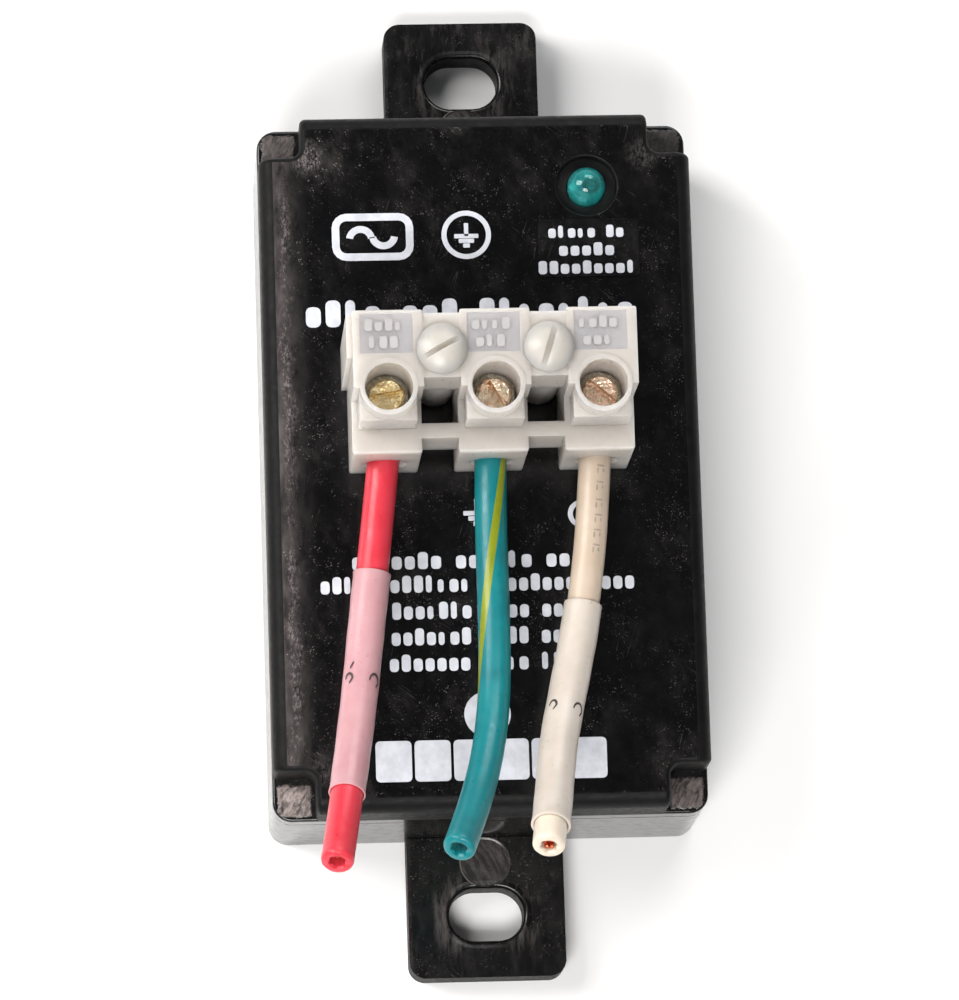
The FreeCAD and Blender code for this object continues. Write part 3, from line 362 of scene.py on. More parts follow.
def paint_cover():
    """Glossy black moulding with a dull rounded edge, dust, and painted highlights along its left
    side, round the lamp and at the notches.
    """
    paint = Paint("case_black_cover", (0.03, 0.03, 0.035), 0.2, Specular_IOR_Level=0.35)
    x, y, z = paint.place()
    speckle = paint.noise(3.4, 6, 0.85, paint.stretched((1.3, 0.6, 1)))
    speckle = paint.ramp(speckle, 0.44, 0.64)
    from_notch = paint.reach(
        paint.less(paint.maths("ABSOLUTE", x), NOTCH_X),
        paint.less(paint.maths("ABSOLUTE", y), NOTCH_Y),
    )
    from_lamp = paint.reach(paint.less(x, LAMP_X), paint.less(y, LAMP_Y))

    # how much dust each part of the face holds
    left_edge = paint.ramp(x, -15.7, -12.6, 1.0, 0.0)
    far_edge = paint.ramp(y, 23.0, 26.5, 0.0, 0.55)
    near_edge = paint.ramp(y, -26.5, -24.0, 0.4, 0.0)
    notch_edge = paint.ramp(from_notch, 0.9, 3.6, 1.3, 0.0)
    soiled = paint.most(left_edge, near_edge, far_edge, notch_edge)
    right_side = paint.ramp(x, 4.0, 12.0, 1.0, 0.6)
    amount = paint.times(paint.ramp(soiled, 0, 1.3, 0.42, 1.25), right_side)

    # painted highlight: a bright line down the left edge, speckled like dust, with a streaky
    # painted sheen beside it
    wander = paint.maths("ADD", x, paint.ramp(paint.noise(0.35, 2), 0.3, 0.7, -0.25, 0.25))
    line = paint.times(
        paint.ramp(wander, -15.85, -15.35), paint.ramp(wander, -15.15, -14.35, 1.0, 0.0),
        speckle, paint.ramp(paint.noise(0.2, 3), 0.35, 0.6, 0.35, 1.0),
        paint.ramp(y, -22.0, -12.0, 1.1, 0.75), 0.85,
    )
    streaky = paint.noise(0.9, 5, 0.65, paint.stretched((1, 0.4, 1)))
    streaky = paint.ramp(streaky, 0.32, 0.72, 0.1, 1.0)
    left_sheen = paint.times(left_edge, left_edge, streaky, 0.30)

    # painted highlight on the rim round the lamp, brightest to its left and right; and at each
    # notch a speckled curve, partly dust and partly painted highlight, strongest at the upper left
    lamp_rim_highlight = paint.times(
        paint.ramp(paint.apart(from_lamp, 2.42), 0.0, 0.09, 1.0, 0.0),
        paint.ramp(paint.apart(x, LAMP_X), 0.6, 2.0, 0.1, 1.0),
        paint.ramp(paint.noise(0.8, 3), 0.38, 0.6, 0.25, 1.0), 0.75,
    )
    notch_curve = paint.times(
        paint.ramp(from_notch, 0.7, 1.7, 0.7, 0.0), speckle,
        paint.ramp(x, -10.0, -8.0, 0.8, 0.25), paint.ramp(y, 0, 10, 0.35, 1.0),
    )
    on_face = paint.ramp(z, FACE - 0.12, FACE - 0.02)
    # the painted highlights above, with their dust speckle, lie on the face only and are mixed in
    # with the dust
    sheen_and_dust = paint.times(paint.most(line, left_sheen, lamp_rim_highlight, notch_curve), on_face)
    mask = add_dust(paint, (0.022, 0.022, 0.027), (0.62, 0.585, 0.58), amount, sheen_and_dust)
    rim = paint.ramp(z, FACE - 0.22, FACE - 0.05, 0.46, 0.0)
    grain = paint.ramp(paint.noise(0.8, 4), 0.3, 0.7, 0.16, 0.27)
    paint.set("Roughness", paint.most(grain, rim, paint.times(mask, 0.8)))
    paint.bump(paint.noise(0.35, 2, 0.4), 0.05, 0.35)
    paint.bump(mask, 0.012, 0.8)
    return paint


def paint_satin_wall():
    """The case's drafted walls: finely textured, so they stay black."""
    paint = Paint("case_black_wall", (0.035, 0.033, 0.035), 0.5, Specular_IOR_Level=0.16)
    clouds = paint.clouded((0.03, 0.028, 0.03), (0.075, 0.07, 0.07), 0.7, 4, 0.35, 0.7)
    paint.set("Base Color", clouds)
    paint.worn(2.0, 3, 0.45, 0.62)
    paint.bump(paint.noise(6.0, 2), 0.02, 0.5)
    return paint


def paint_glossy_wall():
    """The housing's polished lower walls, which mirror whatever the case stands on; their streaky
    grey base colour, lighter than the black moulding, is partly a painted reflection of the pale
    floor.
    """
    paint = Paint("case_black_gloss", (0.2, 0.185, 0.175), 0.12, IOR=1.55, Specular_IOR_Level=0.5)
    # base colour: streaky grey, lighter than the black moulding, as a painted reflection of the
    # floor
    streaks = paint.ramp(paint.noise(0.8, 4, 0.6, paint.stretched((1.6, 1.6, 0.25))), 0.32, 0.7)
    paint.set("Base Color", paint.mix(streaks, (0.14, 0.125, 0.12), (0.05, 0.045, 0.042)))
    paint.worn(1.2, 4, 0.08, 0.24)
    paint.bump(paint.noise(0.3, 2, 0.4), 0.05, 0.3)
    return paint


def paint_housing():
    """The same moulding: torn post tops, ejector marks with a painted highlight on their rims, and
    raised slot rims on the tabs.
    """
    paint = Paint("case_black", (0.05, 0.05, 0.055), 0.2)
    x, y, z = paint.place()
    wide, tall = paint.maths("ABSOLUTE", x), paint.maths("ABSOLUTE", y)
    level = paint.ramp(paint.facing_up(), 0.9, 0.99)
    tab = paint.times(paint.ramp(tall, TAB_START - 0.05, TAB_START + 0.05), level)
    from_slot = paint.reach(
        paint.maths("MAXIMUM", paint.less(wide, TAB_SLOT_RUN), 0.0),
        paint.less(tall, TAB_SLOT_Y),
    )
    from_mark = paint.reach(x, paint.less(tall, EJECTOR_Y))

    # drawn-out haze beside the slots, the ejector marks' scraped discs, and a painted highlight on
    # the rim of each mark, brighter on its left
    drawn = paint.noise(0.9, 5, 0.7, paint.stretched((1.5, 0.3, 1)))
    beside = paint.times(
        paint.ramp(from_slot, TAB_SLOT_RADIUS + 0.1, TAB_SLOT_RADIUS + 2.1, 1.0, 0.0),
        paint.ramp(wide, 1.2, 2.6),
    )
    far_end = paint.ramp(paint.noise(0.5, 4), 0.4, 0.7)
    far_end = paint.times(paint.ramp(y, 35.2, 36.6), far_end, 0.6)
    pale_marks = paint.most(beside, far_end, 0.12)
    pale_marks = paint.times(tab, paint.ramp(drawn, 0.45, 0.78), pale_marks, 0.5)
    # painted highlight: a pale ring round each ejector mark, stronger on its left
    ring = paint.times(
        paint.ramp(paint.apart(from_mark, EJECTOR_RADIUS), 0.02, 0.09, 1.0, 0.0),
        paint.ramp(x, -0.6, 0.4, 1.0, 0.25), tab, 0.55,
    )
    scraped = paint.noise(1.3, 5, 0.75, paint.stretched((2.2, 0.5, 1), -25))
    mark = paint.times(
        paint.ramp(from_mark, EJECTOR_RADIUS - 0.11, EJECTOR_RADIUS - 0.03, 1.0, 0.0), tab,
        paint.ramp(scraped, 0.42, 0.72, 0.06, 0.30),
    )
    pale_marks = paint.most(pale_marks, ring, mark)
    mask = add_dust(paint, (0.03, 0.03, 0.035), MOULDING_DUST, 0.45, pale_marks)
    # dust, with the painted highlight rings, over the black moulding
    dust_and_ring_sheen = paint.mix(mask, (0.026, 0.026, 0.03), MOULDING_DUST)

    # the corner posts' tops, torn pale inside a ragged rim and darker away from the light
    ragged = paint.ramp(paint.noise(2.0, 3), 0.3, 0.7, -0.12, 0.12)
    rim_x = paint.maths("ADD", wide, ragged)
    rim_y = paint.maths("ADD", tall, ragged)
    patch = paint.times(
        paint.ramp(rim_x, 16.45, 16.65, 1.0, 0.0), paint.ramp(rim_x, 13.95, 14.1),
        paint.ramp(rim_y, 27.1, 27.3, 1.0, 0.0), paint.ramp(rim_y, 24.75, 24.95),
        paint.ramp(z, POST_TOP - 0.1, POST_TOP - 0.05), level,
    )
    streaks = paint.noise(1.2, 5, 0.8, paint.stretched((2.4, 0.9, 1), 28))
    torn = paint.mix(paint.ramp(streaks, 0.38, 0.66), (0.13, 0.115, 0.11), (0.72, 0.66, 0.64))
    shaded = paint.mix(paint.ramp(y, -5, 5, 0.0, 0.68), torn, (0.15, 0.13, 0.125))
    shaded = paint.mix(paint.times(paint.ramp(x, -5, 5), 0.55), shaded, (0.16, 0.145, 0.145))
    paint.set("Base Color", paint.mix(patch, dust_and_ring_sheen, shaded))
    smooth = paint.ramp(paint.noise(0.7, 4), 0.3, 0.7, 0.14, 0.3)
    paint.set("Roughness", paint.most(smooth, paint.times(mask, 0.8), paint.times(patch, 0.5)))
    paint.bump(paint.noise(0.3, 2, 0.4), 0.06, 0.35)
    paint.bump(paint.times(streaks, patch), 0.15, 0.8)

    # raised slot rims, the step along the tabs' sides, and the sunk ejector marks
    rim = paint.ramp(from_slot, TAB_SLOT_RADIUS, TAB_SLOT_RADIUS + 0.6, 1.0, 0.0)
    sunk = paint.ramp(from_mark, EJECTOR_RADIUS - 0.12, EJECTOR_RADIUS)
    paint.bump(paint.times(rim, tab), 0.13, 0.8)
    paint.bump(paint.times(paint.ramp(wide, 5.95, 6.18, 1.0, 0.0), tab), 0.05, 0.8)
    paint.bump(paint.times(sunk, tab), 0.05, 0.8)
    return paint


def paint_label():
    """Black film, glossy in patches."""
    film = (0.035, 0.035, 0.038)
    paint = Paint("label_film", film, 0.26, Specular_IOR_Level=0.4)
    add_dust(paint, film, (0.45, 0.42, 0.4), 0.5)
    paint.set("Roughness", paint.ramp(paint.noise(0.9, 4, 0.6), 0.35, 0.7, 0.18, 0.36))
    paint.bump(paint.noise(0.6, 3), 0.04, 0.5)
    return paint


# -------------------- nylon, metal, wire, lens


def paint_nylon(name, color, shade):
    """Milky nylon: light goes well in, and the surface has a faint satin ripple."""
    paint = Paint(
        name, color, 0.36,
        Subsurface_Weight=1.0, Subsurface_Scale=0.004, Subsurface_Radius=(1.0, 0.95, 0.88),
    )
    body = paint.clouded(color, shade, 0.45, 3, 0.35, 0.7)

    # the sunk marking fields look a little greyer
    x, _, z = paint.place()
    field_level = BLOCK_TOP - FIELD_DEPTH
    off_row = paint.less(x, POLE_MIDDLE - POLE_PITCH * 2)
    off_pole = paint.maths("PINGPONG", off_row, POLE_PITCH / 2)
    field = paint.times(
        paint.ramp(paint.apart(z, field_level), 0.03, 0.05, 1.0, 0.0),
        paint.ramp(paint.facing_up(), 0.9, 0.99), paint.ramp(off_pole, 2.2, 2.3, 1.0, 0.0),
    )
    paint.set("Base Color", paint.mix(paint.times(field, 0.7), body, (0.67, 0.665, 0.685)))
    paint.worn(2.0, 4, 0.26, 0.44)
    paint.bump(paint.noise(0.8, 3), 0.06, 0.5)
    paint.bump(paint.noise(9.0, 2), 0.012, 0.4)
    return paint


def paint_metal(name, color, tarnish, roughness=0.28, dents=0.10):
    """Worn metal: patches of tarnish, fine turning marks and small dents."""
    paint = Paint(name, color, roughness, Metallic=1.0)
    patches = paint.ramp(paint.noise(1.6, 4, 0.65), 0.38, 0.64)
    paint.set("Base Color", paint.mix(patches, color, tarnish))
    paint.worn(4.0, 4, roughness * 0.7, roughness * 1.5)
    paint.bump(paint.noise(2.0, 2, 0.5), dents, 0.8)
    paint.bump(paint.noise(3.0, 2, 0.6, paint.stretched((1, 7, 1), 25)), 0.03, 0.5)
    return paint


def paint_plastic(name, color, shade, roughness=0.35, scale=1.0, depth=0.03):
    """Plain extruded or moulded plastic with slight clouding and ripple."""
    paint = Paint(name, color, roughness)
    paint.set("Base Color", paint.clouded(color, shade, 0.5 * scale))
    paint.worn(2.2 * scale, 4, roughness * 0.75, roughness * 1.3)
    paint.bump(paint.noise(1.5 * scale, 3), depth, 0.6)
    return paint


def paint_wire(name, color, shade, grime, tip=None):
    """Soft PVC with a little see-through depth, handling marks and fine lengthwise draw lines."""
    paint = Paint(name, color, 0.33, Subsurface_Weight=0.12, Subsurface_Scale=0.0006)
    body = paint.clouded(color, shade, 0.4)
    # the cream wire's tip is painted paler: partly its cleaner colour, partly painted light where
    # its faces turn away from the lamps
    if tip:
        body = paint.mix(paint.ramp(paint.place()[1], -29.0, -26.0, 1.0, 0.0), body, tip)
    dirt = paint.times(
        paint.ramp(paint.noise(2.4, 4, 0.7), 0.60, 0.72),
        paint.ramp(paint.noise(0.22, 2), 0.48, 0.62),
    )
    paint.set("Base Color", paint.mix(paint.times(dirt, 0.6), body, grime))
    paint.worn(1.4, 4, 0.26, 0.46)
    paint.bump(paint.noise(1.0, 3, 0.6, paint.stretched((4, 0.35, 1))), 0.02, 0.5)
    paint.bump(paint.noise(0.5, 2), 0.06, 0.4)
    return paint


def paint_lens():
    """Clear tinted epoxy; its colour comes mostly from the core inside."""
    paint = Paint("lens_green", (0.45, 0.93, 0.90), 0.03, Transmission_Weight=0.92, IOR=1.45)
    swirl = paint.clouded((0.50, 0.95, 0.92), (0.36, 0.86, 0.84), 1.4, 3, 0.35, 0.7)
    paint.set("Base Color", swirl)
    paint.bump(paint.noise(1.2, 2), 0.02, 0.4)
    return paint


# -------------------- mesh helpers

SHARP = math.radians(38)


def finished_mesh(name, builder):
    """Close the builder into a mesh with outward faces and sharp edges kept sharp."""
    bmesh.ops.recalc_face_normals(builder, faces=builder.faces)
    for edge in builder.edges:
        if len(edge.link_faces) == 2 and edge.calc_face_angle(0) > SHARP:
            edge.smooth = False
    mesh = bpy.data.meshes.new(name)
    builder.to_mesh(mesh)
    builder.free()
    return mesh


def smooth_over(faces):
    for face in faces:
        face.smooth = True


def level_ring(builder, x, y, radius, level, sides):
    """A level circle of points about (x, y)."""
    ring = []
    for index in range(sides):
        angle = 2 * math.pi * index / sides
        spot = Vector((x + radius * math.cos(angle), y + radius * math.sin(angle), level))
        ring.append(builder.verts.new(spot * MM))
    return ring


def skin(builder, rings, caps=True):
    """Join each ring of points to the next, cap both ends, and return the rows of faces."""
    rows = []
    for first, second in zip(rings, rings[1:]):
        count = len(first)
        row = []
        for index in range(count):
            following = (index + 1) % count
            corners = (first[index], first[following], second[following], second[index])
            row.append(builder.faces.new(corners))
        rows.append(row)
    if caps:
        builder.faces.new(list(reversed(rings[0])))
        builder.faces.new(rings[-1])
    return rows


def turned(x, y, outline, sides=40):
    """A solid of revolution about a line along Z; outline lists (radius, level) upwards."""
    builder = bmesh.new()
    skin(builder, [level_ring(builder, x, y, radius, level, sides) for radius, level in outline])
    smooth_over(builder.faces)
    return builder


# -------------------- lamp


def make_lamp_core():
    """The coloured body inside the lens, and the small cup that holds the lamp's chip."""
    glow = paint_plastic("lamp_body", (0.0, 0.62, 0.63), (0.0, 0.36, 0.40), 0.3, 2.0)
    core = turned(LAMP_X, LAMP_Y, [
        (1.20, 12.4), (1.24, 15.9), (1.18, 16.4), (1.0, 16.75), (0.7, 17.02), (0.35, 17.15),
        (0.1, 17.18),
    ])
    add_piece("lamp_body", core, [glow])
    rim = paint_metal("lamp_cup", (0.10, 0.42, 0.42), (0.05, 0.30, 0.31), 0.35)
    cup = turned(LAMP_X + 0.26, LAMP_Y - 0.02, [
        (0.34, 17.0), (0.44, 17.30), (0.52, 17.34), (0.50, 17.38), (0.40, 17.36), (0.26, 17.22),
        (0.08, 17.20),
    ])
    add_piece("lamp_cup", cup, [rim])


# -------------------- wires

# The routes' points, in millimetres, are those of the CAD wires.
ROUTES = {
    "line": [
        (-7.88, 0.5, 20.9), (-8.60, -5.6, 20.8), (-9.68, -13.6, 21.6), (-10.45, -19.6, 22.9),
        (-11.30, -25.0, 24.7), (-12.20, -30.2, 27.4), (-12.75, -33.2, 29.5),
    ],
    "ground": [
        (0.30, 0.5, 20.9), (0.12, -5.8, 20.8), (0.15, -13.4, 21.3), (-0.05, -19.6, 22.4),
        (-0.85, -24.6, 24.2), (-2.30, -29.2, 26.9), (-3.60, -32.4, 29.5),
    ],
    "neutral": [
        (8.48, 0.5, 20.9), (8.10, -4.6, 20.8), (7.55, -9.6, 20.95), (6.55, -15.2, 21.6),
        (5.30, -20.4, 22.9), (4.45, -24.2, 24.4), (3.85, -28.6, 26.6), (3.20, -32.3, 29.1),
    ],
}

# Millimetres too. CUT_END is how near an end a point still counts as being on the cut face.
WIRE_WIDTH = 2.5
BORE_WIDTH = 1.2
STRANDS = 7
STRAND_WIDTH = 0.37
STRAND_LAY = 11.0
STRAND_STAGGER = 0.12
CORE_INNER_END = 5.6
CORE_INSETS = {"line": 0.9, "ground": 1.1, "neutral": 0.25}
SLEEVED_RUNS = {"line": (1, 4), "neutral": (2, 6)}
SLEEVE_WIDTH = 2.95
SLEEVE_BORE = 2.6
CUT_END = 0.12
FLUTES = 6
FLUTE_DEPTH = 0.07
SLOTS = {"line": "wire_red", "ground": "wire_green", "neutral": "wire_cream"}
SLEEVE_SLOTS = {"line": "sleeve_pink", "neutral": "sleeve_white"}

# Each soft plastic's colour, shade and grime, and for the cream one the paler colour of its tip,
# partly painted light on the tip's faces that turn away from the lamps.
SOFT_TONES = {
    "wire_red": ((0.86, 0.24, 0.30), (0.83, 0.19, 0.25), (0.68, 0.14, 0.18)),
    "wire_green": ((0.05, 0.50, 0.52), (0.04, 0.44, 0.47), (0.04, 0.3, 0.33)),
    "wire_stripe": ((0.56, 0.59, 0.12), (0.48, 0.53, 0.10), (0.33, 0.38, 0.1)),
    "wire_cream": ((0.79, 0.72, 0.65), (0.76, 0.69, 0.61), (0.6, 0.52, 0.46), (0.88, 0.83, 0.76)),
    "sleeve_pink": ((0.79, 0.60, 0.62), (0.76, 0.56, 0.58), (0.58, 0.40, 0.40)),
    "sleeve_white": ((0.80, 0.76, 0.72), (0.765, 0.725, 0.68), (0.62, 0.58, 0.54)),
}


class Path:
    """A smooth line in millimetres, with a place and a square frame at any distance along it."""

    def __init__(self, points):
        self.points = points
        self.marks = [0.0]
        for before, after in zip(points, points[1:]):
            self.marks.append(self.marks[-1] + (after - before).length)
        self.length = self.marks[-1]

    def frame(self, distance):
        """(place, along, side, up) at a distance; beyond the ends the line runs straight on."""
        row = 0
        while row < len(self.marks) - 2 and self.marks[row + 1] < distance:
            row += 1
        share = (distance - self.marks[row]) / (self.marks[row + 1] - self.marks[row])
        start, stop = self.points[row], self.points[row + 1]
        before = self.points[max(row - 1, 0)]
        after = self.points[min(row + 2, len(self.points) - 1)]
        smooth = min(max(share, 0.0), 1.0)
        along = (stop - before).normalized().lerp((after - start).normalized(), smooth)
        along.normalize()
        up = (Vector((0, 0, 1)) - along * along.z).normalized()
        return start.lerp(stop, share), along, along.cross(up), up

    def nearest(self, spot):
        """Distance along the line of the point closest to a spot."""
        row = min(range(len(self.points)), key=lambda index: (self.points[index] - spot).length)
        return self.marks[row]


def spline_path(name, route):
    """The smooth line of a NURBS spline whose control points are the route's points."""
    curve = bpy.data.curves.new(name, "CURVE")
    curve.dimensions = "3D"
    spline = curve.splines.new("NURBS")
    spline.points.add(len(route) - 1)
    for point, spot in zip(spline.points, route):
        point.co = (*spot, 1.0)
    spline.order_u = 3
    spline.use_endpoint_u = True
    spline.resolution_u = 24
    item = bpy.data.objects.new(name, curve)
    mesh = bpy.data.meshes.new_from_object(item)
    points = [vertex.co.copy() for vertex in mesh.vertices]
    bpy.data.objects.remove(item)
    bpy.data.curves.remove(curve)
    bpy.data.meshes.remove(mesh)
    return Path(points)


def no_change(distance):
    return 0.0


def sweep(
    builder, path, profile, sides, turn=no_change, offset=None, ragged=0.0, bore=0.0, closed=True
):
    """Skin a bar or a tube along a path, and return its rows of faces.

    profile lists (distance, radius); a tube's runs round the section of its wall and closes.
    turn(distance) rolls the points about the path, and offset(distance) moves their middle.
    ragged roughens the cut ends; points as near as the bore are pressed into flutes by strands.
    """
    rings = []
    for distance, radius in profile:
        centre, along, side, up = path.frame(distance)
        roll = turn(distance)
        if offset:
            across, rise = offset(distance)
            centre = centre + side * across + up * rise
        near_end = min(abs(distance), abs(distance - path.length)) < CUT_END
        roughness = ragged if near_end else 0.0
        fluting = FLUTE_DEPTH * radius if radius < bore + 0.05 else 0.0
        ring = []
        for index in range(sides):
            angle = roll + 2 * math.pi * index / sides
            slip = roughness * (math.sin(2 * angle + 1) + 0.6 * math.sin(5 * angle))
            spread = radius + fluting * math.cos(FLUTES * angle)
            spot = centre + (side * math.sin(angle) + up * math.cos(angle)) * spread + along * slip
            ring.append(builder.verts.new(spot * MM))
        rings.append(ring)
    rows = skin(builder, rings + rings[:1] if closed else rings, caps=not closed)
    for row in rows:
        smooth_over(row)
    return rows


def steps(start, stop, size):
    """Evenly spaced distances from start to stop, about size apart."""
    count = max(2, math.ceil(abs(stop - start) / size))
    return [start + (stop - start) * index / count for index in range(count + 1)]


def tube_profile(start, stop, outer, inner, lip, swell=no_change):
    """The closed section of a tube with rounded ends, as (distance, radius)."""
    bends = [math.radians(angle) for angle in (0, 30, 60, 90)]
    rounding = [(lip * (1 - math.cos(bend)), lip * (1 - math.sin(bend))) for bend in bends]
    profile = [(start, inner + lip * 0.4)]
    profile += [(start + run, outer - drop) for run, drop in rounding]
    profile += [(mark, outer + swell(mark)) for mark in steps(start + lip, stop - lip, 0.4)[1:-1]]
    profile += [(stop - run, outer + swell(stop) - drop) for run, drop in reversed(rounding)]
    profile += [(stop, inner + lip * 0.4)]
    profile += [(mark, inner) for mark in steps(stop - lip * 0.5, start + lip * 0.5, 0.5)]
    return profile


STRIPE_START = math.radians(64)
STRIPE_TURN = math.radians(-7.6)
STRIPE_HALF = math.radians(15)


def stripe_roll(distance):
    """Where the ground wire's stripe lies, clockwise from the top as seen along the wire."""
    return -(STRIPE_START + STRIPE_TURN * distance)


def make_insulation(pole, path, paints):
    """A hollow tube with cut ends; the ground wire's has a stripe that winds round it."""
    builder = bmesh.new()
    sides = 72
    turn = stripe_roll if pole == "ground" else no_change
    profile = tube_profile(0.0, path.length, WIRE_WIDTH / 2, BORE_WIDTH / 2, 0.28)
    rows = sweep(builder, path, profile, sides, turn, ragged=0.03, bore=BORE_WIDTH / 2)
    if pole == "ground":
        stripe_columns = round(STRIPE_HALF / (2 * math.pi) * sides)
        for row in rows[:len(rows) // 2]:
            for column in range(-stripe_columns, stripe_columns):
                row[column].material_index = 1
    return add_piece(
        f"insulation_{pole}", builder, paints,
        stands_for=[f"wire_insulation_{pole}"],
    )


def make_strands(pole, path, paint):
    """Seven twisted copper strands, from inside the clamp to just short of the cut end."""
    inner = Vector((path.points[0].x, CORE_INNER_END, path.points[0].z))
    core = Path([inner, inner.lerp(path.points[0], 0.5)] + path.points)
    end = core.length - CORE_INSETS[pole]
    builder = bmesh.new()
    for index in range(STRANDS):
        phase = math.radians(60 * index)
        ring = 0.0 if index == STRANDS - 1 else STRAND_WIDTH

        def offset(distance, ring=ring, phase=phase):
            angle = phase + 2 * math.pi * distance / STRAND_LAY
            return ring * math.sin(angle), ring * math.cos(angle)

        stop = end - STRAND_STAGGER * ((index * 3) % 5)
        profile = [(mark, STRAND_WIDTH / 2) for mark in steps(0.0, stop, 0.45)]
        profile.append((stop + 0.04, STRAND_WIDTH * 0.36))
        sweep(builder, core, profile, 10, offset=offset, closed=False)
    return add_piece(
        f"strands_{pole}", builder, [paint], stands_for=[f"wire_conductor_{pole}"]
    )


def sleeve_span(pole, path):
    """Distances along the path where the marking sleeve starts and stops."""
    first, last = SLEEVED_RUNS[pole]
    route = [Vector(spot) for spot in ROUTES[pole]]
    start = path.nearest((route[first] + route[first + 1]) / 2)
    stop = path.nearest((route[last] + route[last + 1]) / 2)
    return start, stop


def make_sleeve(pole, path, paint):
    """A soft marking sleeve, flared at its lower end; the line wire's is shrunk on, with a ring."""
    start, stop = sleeve_span(pole, path)

    def swell(distance):
        flare = 0.05 * max(0.0, 1 - (stop - distance) / 1.0) ** 2
        wave = 0.012 * math.sin(distance * 1.7)
        if pole != "line":
            return flare + wave
        ring = 0.05 * math.exp(-((distance - start - 2.2) / 0.14) ** 2)
        shrink = 0.03 + 0.07 * (distance - start) / (stop - start)
        return flare + ring + wave - shrink

    builder = bmesh.new()
    profile = tube_profile(start, stop, SLEEVE_WIDTH / 2, SLEEVE_BORE / 2, 0.05, swell)
    sweep(builder, path, profile, 60)
    return add_piece(
        f"sleeve_{pole}", builder, [paint],
        stands_for=[f"wire_sleeve_{pole}"],
    )


def ribbon_on_tube(builder, path, radius, marks, width):
    """A thin raised stroke that follows (distance, angle) marks on a tube's skin."""
    rims = []
    for row, (distance, angle) in enumerate(marks):
        before, after = marks[max(row - 1, 0)], marks[min(row + 1, len(marks) - 1)]
        around = math.radians(after[1] - before[1]) * radius
        run = Vector((after[0] - before[0], around)).normalized()
        taper = 0.5 + 0.5 * math.sin(math.pi * (row + 0.5) / len(marks))
        ring = []
        for side, rise in ((-1, 0.0), (-0.6, 0.014), (0.6, 0.014), (1, 0.0)):
            shift = side * width / 2 * taper
            turn = math.radians(angle) + run.x * shift / radius
            centre, along, across, up = path.frame(distance - run.y * shift)
            spot = centre + (across * -math.sin(turn) + up * math.cos(turn)) * (radius + rise)
            ring.append(builder.verts.new(spot * MM))
        rims.append(ring)
    skin(builder, rims)


def make_pen_marks(pole, path, paint):
    """A few short curved pen strokes half way down a sleeve."""
    start, stop = sleeve_span(pole, path)
    middle = start + (stop - start) * (0.49 if pole == "line" else 0.47)
    builder = bmesh.new()
    radius = SLEEVE_WIDTH / 2 + 0.012
    for side, size in ((-1, 0.42), (1, 0.58)):
        hook = []
        for index in range(11):
            turn = math.radians(-95 + 19 * index)
            hook.append((middle - size * math.cos(turn), side * 42 + 30 * size * math.sin(turn)))
        tail = hook[-1]
        hook += [(tail[0] + 0.13 * step, tail[1] - 3 * step) for step in (1, 2, 3)]
        ribbon_on_tube(builder, path, radius, hook, 0.2)
    if pole == "line":
        tick = [(middle - 1.4 + 0.14 * index, -30 - 2.5 * index) for index in range(5)]
        ribbon_on_tube(builder, path, radius, tick, 0.15)
    return add_piece(f"pen_marks_{pole}", builder, [paint])


def make_wire_print(path, paint):
    """Faint plain dashes printed along the neutral wire above its sleeve."""
    builder = bmesh.new()
    radius = WIRE_WIDTH / 2
    for start in (2.2, 3.5, 4.9, 6.1, 7.3, 8.5):
        across = [(start, angle) for angle in (6, 13, 20, 27, 34)]
        ribbon_on_tube(builder, path, radius, across, 0.16)
        for angle, length in ((9, 0.45), (30, 0.3)):
            dash = [(start + 0.2 + length * share / 3, angle) for share in range(4)]
            ribbon_on_tube(builder, path, radius, dash, 0.16)
    return add_piece("wire_print", builder, [paint])


def make_wires():
    soft = {name: paint_wire(name, *shades) for name, shades in SOFT_TONES.items()}
    copper = paint_metal("copper", (0.90, 0.55, 0.40), (0.74, 0.38, 0.26), 0.35)
    pen_ink = paint_plastic("pen_ink", (0.20, 0.17, 0.18), (0.3, 0.26, 0.27), 0.5)
    faint_ink = paint_plastic("faint_ink", (0.60, 0.53, 0.49), (0.72, 0.64, 0.58), 0.5, 2.0)
    for pole in POLES:
        path = spline_path(f"route_{pole}", ROUTES[pole])
        paints = [soft[SLOTS[pole]]]
        if pole == "ground":
            paints.append(soft["wire_stripe"])
        insulation = make_insulation(pole, path, paints)
        beside = [make_strands(pole, path, copper)]
        if pole in SLEEVE_SLOTS:
            beside.append(make_sleeve(pole, path, soft[SLEEVE_SLOTS[pole]]))
            beside.append(make_pen_marks(pole, path, pen_ink))
        if pole == "neutral":
            beside.append(make_wire_print(path, faint_ink))


# -------------------- print on the cover


def rounded(left, low, right, high, bend, turns):
    """Corners of a rounded rectangle, anticlockwise, each bend in so many turns."""
    quarters = (
        (right - bend, low + bend, -90), (right - bend, high - bend, 0),
        (left + bend, high - bend, 90), (left + bend, low + bend, 180),
    )
    outline = []
    for x, y, start in quarters:
        for step in range(turns + 1):
            angle = math.radians(start + 90 * step / turns)
            outline.append((x + bend * math.cos(angle), y + bend * math.sin(angle)))
    return outline


ARC_STEP = 7.5


